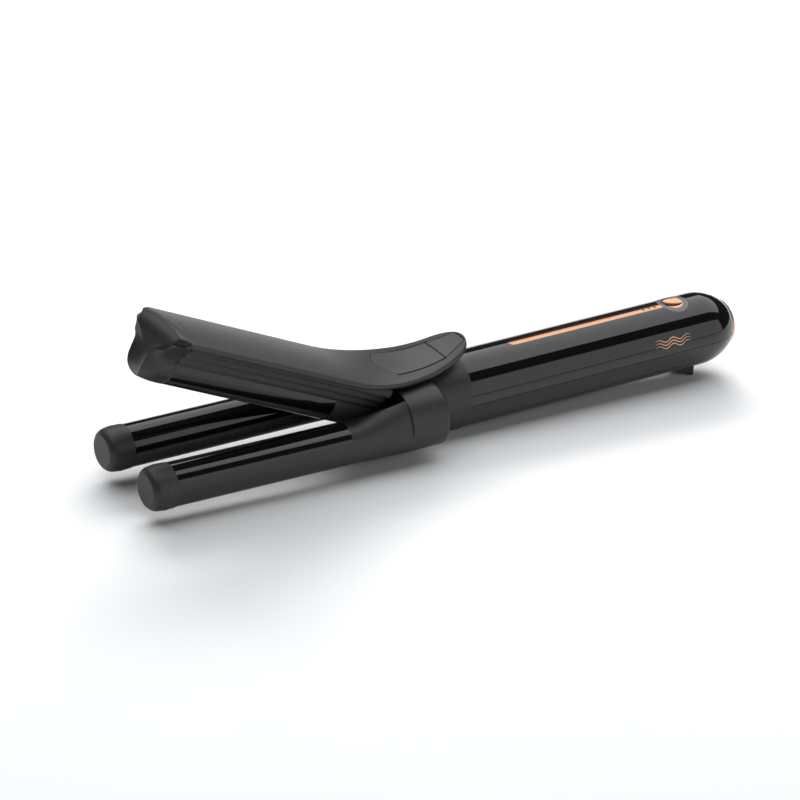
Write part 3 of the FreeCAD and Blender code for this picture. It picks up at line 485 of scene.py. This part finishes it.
@dataclass(frozen=True)
class Finishes:
    """Every finish of the tool."""

    gloss: Finish = Finish("gloss_black", (0.0035, 0.0035, 0.0038), 0.05, uneven=0.015, mottle=0.2)
    front: Finish = Finish("matte_charcoal", (0.010, 0.0102, 0.011), 0.46, grain=0.35, uneven=0.05)
    wing: Finish = Finish("soft_charcoal", (0.017, 0.0173, 0.0187), 0.43, grain=0.30, uneven=0.04)
    tip: Finish = Finish("cool_tip_charcoal", (0.016, 0.0162, 0.0175), 0.50, grain=0.4)
    carrier: Finish = Finish("jaw_frame_black", (0.005, 0.005, 0.0053), 0.34, grain=0.3)
    pad: Finish = Finish("pad_charcoal", (0.030, 0.0305, 0.033), 0.40, grain=0.5,
                         grain_scale=3500.0)
    plate: Finish = Finish("plate_ceramic_black", (0.004, 0.004, 0.0045), 0.07, uneven=0.02,
                           mottle=0.3)
    rose: Finish = Finish("rose_gold_satin", ROSE_GOLD, 0.32, 1.0, grain=0.15)
    strip: Finish = StripWithPaintedShade("rose_gold_strip", ROSE_GOLD, 0.24, 1.0)
    disc: Finish = TurnedMetal("rose_gold_turned", ROSE_GOLD, 0.36, 1.0)
    dish: Finish = Finish("rose_gold_polished", ROSE_GOLD, 0.16, 1.0)
    pipe: Finish = Finish("smoked_light_pipe", (0.02, 0.012, 0.010), 0.15)
    rubber: Finish = Finish("foot_rubber_black", (0.006, 0.006, 0.006), 0.6, grain=0.5)
    socket: Finish = Finish("socket_black_plastic", (0.010, 0.010, 0.011), 0.35, grain=0.2)
    brass: Finish = Finish("contact_brass_plated", (0.80, 0.58, 0.25), 0.25, 1.0)
    steel: Finish = Finish("bright_steel", (0.62, 0.62, 0.63), 0.28, 1.0, stretch=(0.1, 1.0, 1.0))
    aluminium: Finish = Finish("extruded_aluminium", (0.75, 0.76, 0.77), 0.35, 1.0, grain=0.2,
                               stretch=(0.05, 1.0, 1.0))
    ceramic: Finish = Finish("heater_ceramic_white", (0.78, 0.74, 0.66), 0.55, grain=0.3)
    wrap: Finish = Finish("cell_wrap_green", (0.03, 0.22, 0.12), 0.30, mottle=0.2)
    inner: Finish = Finish("inner_plastic_grey", (0.10, 0.10, 0.11), 0.5, grain=0.3)
    board: Finish = Finish("circuit_board_green", (0.01, 0.10, 0.04), 0.35, grain=0.3,
                           grain_scale=1500.0)
    led: Finish = Finish("led_lens_white", (0.82, 0.82, 0.76), 0.3)


FINISHES = Finishes()

NODE_FINISHES: dict[str, Finish] = {
    "handle_upper_shell": FINISHES.gloss, "handle_lower_shell": FINISHES.gloss,
    "handle_screws": FINISHES.steel,
    "accent_strip": FINISHES.strip, "led_light_pipes": FINISHES.pipe, "led_chips": FINISHES.led,
    "button_bezel": FINISHES.steel, "main_circuit_board": FINISHES.board,
    "tact_switch": FINISHES.inner,
    "battery_cell_front": FINISHES.wrap, "battery_cell_rear": FINISHES.wrap,
    "battery_cradle": FINISHES.inner,
    "charging_socket": FINISHES.socket, "socket_pin": FINISHES.brass, "end_disc": FINISHES.disc,
    "rear_foot": FINISHES.rubber, "front_collar": FINISHES.front, "yoke_housing": FINISHES.front,
    "yoke_screws": FINISHES.steel, "hinge_pin": FINISHES.steel, "jaw_spring": FINISHES.steel,
    "barrel_casing_left": FINISHES.front, "barrel_casing_right": FINISHES.front,
    "heating_plate_left": FINISHES.plate, "heating_plate_right": FINISHES.plate,
    "barrel_core_left": FINISHES.aluminium, "barrel_core_right": FINISHES.aluminium,
    "ptc_heater_left": FINISHES.ceramic, "ptc_heater_right": FINISHES.ceramic,
    "tip_cap_left": FINISHES.tip, "tip_cap_right": FINISHES.tip,
    "yoke_cover_left": FINISHES.front, "yoke_cover_right": FINISHES.front,
    "jaw_shell": FINISHES.wing, "jaw_nose": FINISHES.wing, "jaw_carrier": FINISHES.carrier,
    "jaw_heating_plate": FINISHES.plate, "jaw_core": FINISHES.aluminium,
    "jaw_ptc_heater": FINISHES.ceramic,
    "jaw_screws": FINISHES.steel, "thumb_pad": FINISHES.pad, "lever_end_trim": FINISHES.pad,
    "hinge_bushes": FINISHES.brass, "power_button": FINISHES.dish,
}


def dress_nodes() -> None:
    """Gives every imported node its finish."""
    for name, finish in NODE_FINISHES.items():
        mesh = frame["nodes"][name].data
        mesh.materials.clear()
        mesh.materials.append(finish.material())


# ------------------------------------------------------------------ jaw

@dataclass
class JawWing:
    """The crowned wing, its lever with pad and trim, and the scooped nose, in the jaw's frame."""

    placing: Placing
    half: float = 21.3
    top_z: float = 18.2
    crown_r: float = 114.0
    thickness: float = 3.0
    edge_r: float = 1.1
    front_x: float = -127.0
    lever_rise_deg: float = 22.8
    lever_bend_r: float = 105.0
    lever_bend_x: float = -16.4
    lever_curl_r: float = 67.0
    shoulder_x: float = -32.0
    side_mid: tuple = (-3.7, 18.08)
    end_arc: tuple = (18.6, 12.6)
    end_x: float = 28.8
    pad_apex_x: float = -13.5
    pad_shoulder_x: float = -8.0
    pad_half: float = 11.5
    seam_x: float = 17.0
    seam_half: float = 8.6
    trim_end: tuple = (27.3, 4.5)
    recess: float = 1.1
    seam_gap: float = 0.12
    fine: float = 0.33
    chin_r: float = 10.0
    flank_lean: tuple = (12.4, 10.4)
    flank_end: tuple = (10.0, 1.6)
    face_narrowing: float = 0.90
    face_drop: float = 0.7
    face_corner_drop: float = 1.3
    face_waist: tuple = (6.3, 0.0)
    face_lean: tuple = (7.0, 10.9)
    chin_lean: tuple = (5.5, -8.9)
    chin_end: tuple = (0.0, -8.9)
    chin_x: float = -140.65
    chin_z: float = -1.0
    brow_back: float = 7.45
    brow_rise: float = 19.3
    brow_power: float = 1.9
    jowl_back: float = 3.65
    jowl_drop: float = 8.4
    jowl_power: float = 2.6
    sweep_x: float = -142.4
    sweep_back: float = 4.6
    sweep_half: float = 15.3
    corner_back: float = 3.2
    corner_y: float = 12.0
    corner_run: float = 6.3
    face_middle: tuple = (0.0, 5.0)
    hollow: float = 1.3

    def half_at(self, x: np.ndarray) -> np.ndarray:
        """Half-width: parallel to the shoulder, then one circle through three points."""
        a, b, c = (self.shoulder_x, self.half), self.side_mid, self.end_arc
        m = np.array([[2 * (b[0] - a[0]), 2 * (b[1] - a[1])],
                      [2 * (c[0] - a[0]), 2 * (c[1] - a[1])]])
        v = np.array([b[0] ** 2 + b[1] ** 2 - a[0] ** 2 - a[1] ** 2,
                      c[0] ** 2 + c[1] ** 2 - a[0] ** 2 - a[1] ** 2])
        cx, cy = np.linalg.solve(m, v)
        radius = math.hypot(a[0] - cx, a[1] - cy)
        curved = cy + np.sqrt(np.maximum(radius ** 2 - (x - cx) ** 2, 0))
        return np.where(x < self.shoulder_x, self.half, curved)

    def end_line(self) -> tuple[float, float]:
        """Centre and radius of the lever's round end."""
        run = self.end_x - self.end_arc[0]
        radius = (self.end_arc[1] ** 2 + run ** 2) / (2 * run)
        return self.end_x - radius, radius

    def path(self, x: np.ndarray) -> tuple[np.ndarray, np.ndarray]:
        """Top line of the wing: flat, an arc of lever_bend_r, then a tighter arc of lever_curl_r.

        Args:
            x: Places along the jaw's X axis.

        Returns:
            Height and slope angle at each place.
        """
        rise = math.radians(self.lever_rise_deg)
        start = self.lever_bend_x - self.lever_bend_r * math.tan(rise / 2)
        stop = start + self.lever_bend_r * math.sin(rise)
        angle = np.arcsin(np.clip((x - start) / self.lever_bend_r, 0, math.sin(rise)))
        height = self.top_z + self.lever_bend_r * (1 - np.cos(angle))
        steep = math.sin(rise) + (x - stop) / self.lever_curl_r
        curl = np.arcsin(np.clip(steep, math.sin(rise), 0.99))
        height = height + self.lever_curl_r * (math.cos(rise) - np.cos(curl))
        return height, np.where(x > stop, curl, angle)

    def surface(self, x: np.ndarray, y: np.ndarray,
                depth: np.ndarray | float = 0.0) -> tuple[np.ndarray, np.ndarray]:
        """Point and normal of the crowned surface: the path sunk by R - sqrt(R^2 - y^2) across."""
        height, angle = self.path(x)
        across = np.arcsin(y / self.crown_r)
        sink = self.crown_r * (1 - np.cos(across)) + depth
        point = np.stack([x + sink * np.sin(angle), y, height - sink * np.cos(angle)], axis=-1)
        normal = np.stack([-np.sin(angle) * np.cos(across), np.sin(across),
                           np.cos(angle) * np.cos(across)], axis=-1)
        return point, unit(normal)

    def pad_side(self, x: np.ndarray) -> np.ndarray:
        """Half-width of the pad and the trim behind it, drawn in towards the rear."""
        return np.interp(x, [self.pad_shoulder_x, self.seam_x, self.trim_end[0]],
                         [self.pad_half, self.seam_half, self.trim_end[1]])

    def pad_front(self, y: np.ndarray) -> np.ndarray:
        """The pad's front edge, a parabola bowed forward."""
        bow = self.pad_shoulder_x - self.pad_apex_x
        return self.pad_apex_x + bow * (y / self.pad_half) ** 2

    def wing(self) -> bpy.types.Object:
        """The wing and lever as one plate, sunk where the pad and the trim lie."""
        centre, radius = self.end_line()
        end_x, end_half = self.end_arc
        inset = self.edge_r
        rows = np.concatenate([np.linspace(self.front_x, -44, 40)[:-1],
                               np.linspace(-44, -15, 30)[:-1],
                               np.arange(-15, end_x, self.fine), [end_x]])
        fine = np.arange(-13.0, 13.001, self.fine) / 13.0
        rim = np.linspace(0.64, 1, 7)
        share = np.concatenate([np.linspace(-1, -0.64, 7)[:-1], fine * 0.64, rim[1:]])
        x, s = np.meshgrid(rows, share, indexing="ij")
        reach = smooth_step((x + 5.0) / (end_x + 5.0))
        y = s * (self.half_at(x) - inset)
        bulge = np.sqrt(np.maximum((radius - inset) ** 2 - y ** 2, 0))
        floor = math.sqrt((radius - inset) ** 2 - (end_half - inset) ** 2)
        x = x + reach * (np.maximum(bulge - floor, 0) + (centre + floor - end_x))
        inside = np.minimum(x - self.pad_front(y), self.pad_side(x) - np.abs(y))
        gap = np.minimum(inside, self.trim_end[0] - x)
        sunk = self.recess * smooth_step(gap / self.fine + 0.5)
        base, up = self.surface(x, y)
        top, _ = self.surface(x, y, sunk)
        return slab("jaw_wing", top, base, up, self.thickness, inset, self.placing.jaw)

    def insert(self, name: str, corners: Callable[[np.ndarray, np.ndarray], tuple],
               dish: float) -> bpy.types.Object:
        """A closed insert whose outline is a function of two shares from 0 to 1.

        Args:
            name: The piece's name.
            corners: Gives x and y on the jaw for the shares along and across.
            dish: How far its middle is hollowed.

        Returns:
            The insert.
        """
        along, across = np.meshgrid(np.linspace(0, 1, 60), np.linspace(0, 1, 50), indexing="ij")
        x, y = corners(along, across)
        hollow = dish * (np.sin(math.pi * along) * np.sin(math.pi * across))
        base, up = self.surface(x, y, 0.0)
        top, _ = self.surface(x, y, hollow)
        return slab(name, top, base, up, self.recess - 0.08, 0.22, self.placing.jaw, 3)

    def pad(self) -> bpy.types.Object:
        """The thumb pad, bowed in front and straight behind."""
        inset = self.seam_gap + 0.22

        def corners(along: np.ndarray, across: np.ndarray) -> tuple:
            """Carries the two shares to x and y."""
            side = 2 * across - 1
            front_y = side * (self.pad_half - inset)
            front = self.pad_front(front_y) + inset
            x = front + along * (self.seam_x - inset - front)
            return x, side * (self.pad_side(np.maximum(x, self.pad_shoulder_x)) - inset)

        return self.insert("thumb_pad_skin", corners, 0.35)

    def trim(self) -> bpy.types.Object:
        """The trim that carries the pad's outline to the end of the lever."""
        inset = self.seam_gap + 0.22

        def corners(along: np.ndarray, across: np.ndarray) -> tuple:
            """Carries the two shares to x and y."""
            x = self.seam_x + inset + along * (self.trim_end[0] - self.seam_x - 2 * inset)
            return x, (2 * across - 1) * (self.pad_side(x) - inset)

        return self.insert("lever_trim_skin", corners, 0.0)

    def nose_rings(self, count: int = 26) -> tuple[np.ndarray, np.ndarray]:
        """The nose's section where it leaves the wing, and the narrower outline of its face.

        Both run over the crown, round the wing's edge, down a hollow flank and round the chin, with
        the same share of points on each stretch.

        Args:
            count: Points on each stretch of one half.

        Returns:
            The rear ring and the face's ring, as y and z.
        """
        r = self.edge_r
        reach = math.asin((self.half - r) / self.crown_r)
        sweep = np.linspace(0, reach, 40)
        top = np.stack([self.crown_r * np.sin(sweep),
                        self.top_z - self.crown_r * (1 - np.cos(sweep))], axis=1)
        turn = np.linspace(0, math.pi / 2, 12)
        up = np.array([math.sin(reach), math.cos(reach)])
        out = np.array([math.cos(reach), -math.sin(reach)])
        high = top[-1] + r * (np.outer(np.sin(turn), out) - np.outer(1 - np.cos(turn), up))
        drop = self.thickness - 2 * r
        low = high[-1] - up * drop
        low = low + r * (np.outer(np.cos(turn) - 1, out) - np.outer(np.sin(turn), up))
        flank = bend_line(tuple(low[-1]), self.flank_lean, self.flank_end, 30)
        down = np.linspace(math.asin(self.flank_end[1] / self.chin_r), -math.pi / 2, 50)
        barrel = self.chin_r * np.stack([np.cos(down), np.sin(down)], axis=1)
        rear = [top, np.concatenate([high, low]), flank, barrel]
        sink = self.face_drop + self.face_corner_drop * (top[:, 0] / self.half) ** 6
        face_top = np.stack([top[:, 0] * self.face_narrowing, top[:, 1] - sink], axis=1)
        y, z = face_top[-1]
        face_edge = bend_line((y, z), (y + 0.7, z - 1.1), (y - 0.9, z - 2.0))
        face_flank = bend_line(tuple(face_edge[-1]), self.face_lean, self.face_waist, 60)
        face_chin = bend_line(self.face_waist, self.chin_lean, self.chin_end, 60)
        face = [face_top, face_edge, face_flank, face_chin]

        def closed(stretches: list) -> np.ndarray:
            """Spaces, smooths twice and mirrors one half's stretches."""
            parts = [polyline([part], count)[:-1] for part in stretches]
            right = np.concatenate(parts + [stretches[-1][-1:]])
            for _ in range(2):
                right[1:-1] = (right[:-2] + 2 * right[1:-1] + right[2:]) / 4
            return np.concatenate([right, right[-2:0:-1] * np.array([-1.0, 1.0])])

        return closed(rear), closed(face)

    def nose_face(self, y: np.ndarray, z: np.ndarray) -> np.ndarray:
        """How far forward the nose reaches: a side profile and a sweep back to the corners.

        From the chin the profile draws back as a power of the height above it and, faster, of the
        depth below it. Where profile and sweep meet, the greater is taken with a soft corner:
        (a + b + sqrt((a-b)^2 + s)) / 2.
        """
        above = np.maximum(z - self.chin_z, 0) / self.brow_rise
        below = np.maximum(self.chin_z - z, 0) / self.jowl_drop
        side = self.chin_x + self.brow_back * above ** self.brow_power
        side = side + self.jowl_back * below ** self.jowl_power
        corner = np.clip((np.abs(y) - self.corner_y) / self.corner_run, 0, 2) ** 1.3
        sweep = self.sweep_x + self.sweep_back * np.abs(y / self.sweep_half) ** 2.4
        sweep = sweep + self.corner_back * corner
        return (side + sweep + np.sqrt((side - sweep) ** 2 + 0.6)) / 2

    def nose(self) -> bpy.types.Object:
        """The cool nose: flanks that draw in to a narrow chin, and a hollowed face.

        From the rear ring to the face's ring the section goes as 1 - t^1.8 at the flanks, which
        leaves a crisp rim, and as sqrt(1 - t^2) over the crown, which rounds it.
        """
        rear, face = self.nose_rings()
        y, z = face[:, 0], face[:, 1]
        reach = self.nose_face(y, z)
        crown = smooth_step((z - 13.2) / 2.6)
        low = smooth_step((8.0 - z) / 5.0)
        run = 1.6 + 2.6 * crown + 8.0 * low
        rows = []
        for share in np.sin(np.linspace(0, math.pi / 2, 34)):
            x = self.front_x + (reach - self.front_x) * share
            t = np.clip(1 - (x - reach) / run, 0, 1)
            ease = crown * np.sqrt(1 - t ** 2) + (1 - crown) * (1 - t ** 1.8)
            section = face + (rear - face) * ease[:, None]
            rows.append(np.stack([x, section[:, 0], section[:, 1]], axis=1))
        middle = np.array(self.face_middle)
        for share in np.linspace(1, 0.02, 44)[1:]:
            p = middle + (face - middle) * share
            hollow = self.hollow * (1 - share ** 2) * smooth_step((15.5 - p[:, 1]) / 6.0)
            depth = self.nose_face(p[:, 0], p[:, 1]) + hollow
            rows.append(np.stack([depth, p[:, 0], p[:, 1]], axis=1))
        return loft("jaw_nose_tip", self.placing.jaw(np.array(rows)), 32.0)

    def build(self) -> None:
        """Makes and fits the jaw's outer pieces."""
        fit_in(self.wing(), Body.JAW, "jaw_matte_black", FINISHES.wing, "jaw_shell")
        fit_in(self.nose(), Body.JAW, "jaw_matte_black", FINISHES.wing, "jaw_nose")
        fit_in(self.pad(), Body.JAW, "thumb_pad", FINISHES.pad, "thumb_pad")
        fit_in(self.trim(), Body.JAW, "thumb_pad", FINISHES.pad, "lever_end_trim")


# ------------------------------------------------------------------ handle details

@dataclass
class HandleTrim:
    """The button's ring and the inlaid waves on the handle, in the drawing frame."""

    placing: Placing
    handle_r: float = 18.0
    button_x: float = 158.5
    ring_inner: float = 5.5
    ring_outer: float = 8.0
    wave_x: tuple = (136.5, 158.5)
    wave_deg: float = 20.0
    wave_rise: float = 0.8
    wave_pitch: float = 1.55
    wave_count: int = 3
    wave_turns: float = 2.5
    wave_width: float = 0.5

    def ring(self) -> bpy.types.Object:
        """The ring round the button: a rounded section that follows the handle's roundness."""
        inner, outer = self.ring_inner, self.ring_outer
        section = polyline([np.array([[inner, -1.4], [inner, -0.25]]),
                            bend_line((inner, -0.25), (inner, 0.05), (inner + 0.4, 0.08)),
                            bend_line((outer - 0.3, 0.08), (outer, 0.06), (outer, -0.15)),
                            np.array([[outer, -0.15], [outer, -1.4]])], 26)
        turn = np.linspace(0, 2 * math.pi, 145)[:-1]
        x = self.button_x + section[None, :, 0] * np.cos(turn)[:, None]
        y = section[None, :, 0] * np.sin(turn)[:, None]
        z = np.sqrt(self.handle_r ** 2 - y ** 2) + section[None, :, 1]
        return hoop("button_ring", self.placing.tool(np.stack([x, y, z], axis=-1)))

    def wave(self, index: int) -> bpy.types.Object:
        """One inlaid wave: a thin slab whose angle round the handle follows a sine along it."""
        x0, x1 = self.wave_x
        along, across = np.meshgrid(np.linspace(0, 1, 120), np.linspace(-1, 1, 7), indexing="ij")
        x = x0 + (x1 - x0) * along
        swell = np.sin(math.pi * along) ** 0.6
        shift = (index - (self.wave_count - 1) / 2) * self.wave_pitch
        arc = shift + self.wave_rise * np.sin(2 * math.pi * self.wave_turns * along)
        arc = arc + across * swell * self.wave_width / 2
        angle = math.radians(self.wave_deg) + arc / self.handle_r
        radius = self.handle_r + 0.03
        top = np.stack([x, -radius * np.cos(angle), radius * np.sin(angle)], axis=-1)
        up = np.stack([x * 0, -np.cos(angle), np.sin(angle)], axis=-1)
        return slab(f"inlaid_wave_{index + 1}", top, top, up, 0.05, 0.012, self.placing.tool, 2)

    def build(self) -> None:
        """Makes and fits the trim."""
        centre = self.placing.tool(np.array([[self.button_x, 0.0, self.handle_r]]))[0]
        ticked = TickedRing("ticked_grey_ring", (0.17, 0.175, 0.18), 0.42, 0.6, centre=tuple(centre),
                            fall=-self.placing.fall)
        fit_in(self.ring(), Body.ROOT, "bezel_grey", ticked, "button_bezel")
        for index in range(self.wave_count):
            fit_in(self.wave(index), Body.ROOT, "rose_gold", FINISHES.rose)


# ------------------------------------------------------------------ studio

@dataclass(frozen=True)
class Panel:
    """A soft rectangular light, left out of reflections where it is not mirrored."""

    name: str
    place: tuple
    aim: tuple
    size: tuple
    watts: float
    mirrored: bool = True


PANELS = (
    Panel("overhead_panel", (0.65, 0.72, 1.30), (0.65, 0.70, 0.0), (3.4, 2.36), 48.0),
    Panel("rear_panel", (0.60, 1.55, 1.20), (0.0, 0.0, 0.0), (1.6, 0.6), 42.0, False),
    Panel("front_panel", (1.25, -1.80, 0.86), (1.25, 0.0, 0.86), (3.6, 1.65), 21.0),
)


@dataclass
class Studio:
    """Pale floor, soft panels and the camera."""

    placing: Placing
    azimuth_deg: float = -35.4525
    elevation_deg: float = 27.6401
    roll_deg: float = -3.8634
    distance: float = 1343.416
    rise: float = 1.7773
    lens: float = 130.6305
    fill: float = 0.05
    fill_colour: tuple = (0.93, 0.965, 1.0)
    backdrop_colour: tuple = (0.942, 0.945, 0.949)
    floor_radii: tuple = (0.2, 0.5, 1.0, 2.0, 4.0)
    floor_sides: int = 128

    def camera(self) -> None:
        """A long lens, level apart from a slight roll, set in the tool's drawing frame."""
        data = bpy.data.cameras.new("view_camera")
        data.lens, data.sensor_width = self.lens, 36.0
        data.clip_start, data.clip_end = 0.05, 50.0
        a, e, r = (math.radians(v) for v in (self.azimuth_deg, self.elevation_deg, self.roll_deg))
        back = np.array([math.sin(a) * math.cos(e), -math.cos(a) * math.cos(e), math.sin(e)])
        right = unit(np.cross(-back, [0.0, 0.0, 1.0]))
        down = np.cross(-back, right)
        right, down = (right * math.cos(r) + down * math.sin(r),
                       down * math.cos(r) - right * math.sin(r))
        eye = self.placing.tool(back * self.distance - down * self.rise)
        axes = [self.placing.turn(v, -self.placing.fall) for v in (right, -down, back)]
        turn = Matrix([list(v) for v in axes]).transposed().to_4x4()
        camera = bpy.data.objects.new("view_camera", data)
        camera.matrix_world = Matrix.Translation(Vector(eye)) @ turn
        bpy.context.scene.collection.objects.link(camera)
        bpy.context.scene.camera = camera

    def panel(self, light: Panel) -> None:
        """Hangs one soft rectangular light."""
        data = bpy.data.lights.new(light.name, "AREA")
        data.shape, data.energy = "RECTANGLE", light.watts
        data.size, data.size_y = light.size
        lamp = bpy.data.objects.new(light.name, data)
        lamp.visible_glossy = light.mirrored
        lamp.location = light.place
        aim = Vector(light.aim) - Vector(light.place)
        lamp.rotation_euler = aim.to_track_quat("-Z", "Y").to_euler()
        bpy.context.scene.collection.objects.link(lamp)

    def floor(self) -> None:
        """A wide pale disc of rings of points and a fan round its middle."""
        sides, rings = self.floor_sides, len(self.floor_radii)
        turn = np.linspace(0, 2 * math.pi, sides + 1)[:-1]
        radii = np.array(self.floor_radii)
        points = np.stack([np.outer(radii, np.cos(turn)), np.outer(radii, np.sin(turn)),
                           np.zeros((rings, sides))], axis=-1)
        faces = grid_faces(rings, sides, wrap_columns=True).tolist()
        mesh = bpy.data.meshes.new("floor")
        fan = [[j, (j + 1) % sides, rings * sides] for j in range(sides)]
        mesh.from_pydata(points.reshape(-1, 3).tolist() + [[0, 0, 0]], [], faces + fan)
        mesh.update()
        floor = bpy.data.objects.new("floor", mesh)
        bpy.context.scene.collection.objects.link(floor)
        maker = Maker("floor_white")
        shader = maker.add("ShaderNodeBsdfPrincipled", {}, {
            "Base Color": maker.blend(maker.noise(8.0), (0.74, 0.75, 0.76), (0.76, 0.77, 0.78)),
            "Roughness": 0.9, "Specular IOR Level": 0.1}, "BSDF")
        maker.add_output(shader)
        mesh.materials.append(maker.material)

    def build(self) -> None:
        """Sets up the room."""
        scene = bpy.context.scene
        scene.view_settings.view_transform = "Standard"
        world = bpy.data.worlds.new("studio")
        world.use_nodes = True
        tree = world.node_tree
        sky = tree.nodes["Background"]
        sky.inputs["Color"].default_value = (*self.fill_colour, 1.0)
        sky.inputs["Strength"].default_value = self.fill
        seen = tree.nodes.new("ShaderNodeBackground")
        seen.inputs["Color"].default_value = (*self.backdrop_colour, 1.0)
        path = tree.nodes.new("ShaderNodeLightPath")
        mix = tree.nodes.new("ShaderNodeMixShader")
        tree.links.new(path.outputs["Is Camera Ray"], mix.inputs[0])
        tree.links.new(sky.outputs[0], mix.inputs[1])
        tree.links.new(seen.outputs[0], mix.inputs[2])
        tree.links.new(mix.outputs[0], tree.nodes["World Output"].inputs[0])
        scene.world = world
        self.floor()
        for light in PANELS:
            self.panel(light)
        self.camera()


def main() -> None:
    """Builds the pieces in order."""
    logging.basicConfig(level=logging.INFO, format="%(name)s: %(message)s")
    placing = Placing()
    dress_nodes()
    for part in (JawWing(placing), HandleTrim(placing), Studio(placing)):
        part.build()
        LOG.info("%s done", type(part).__name__)


if __name__ == "__main__":
    main()
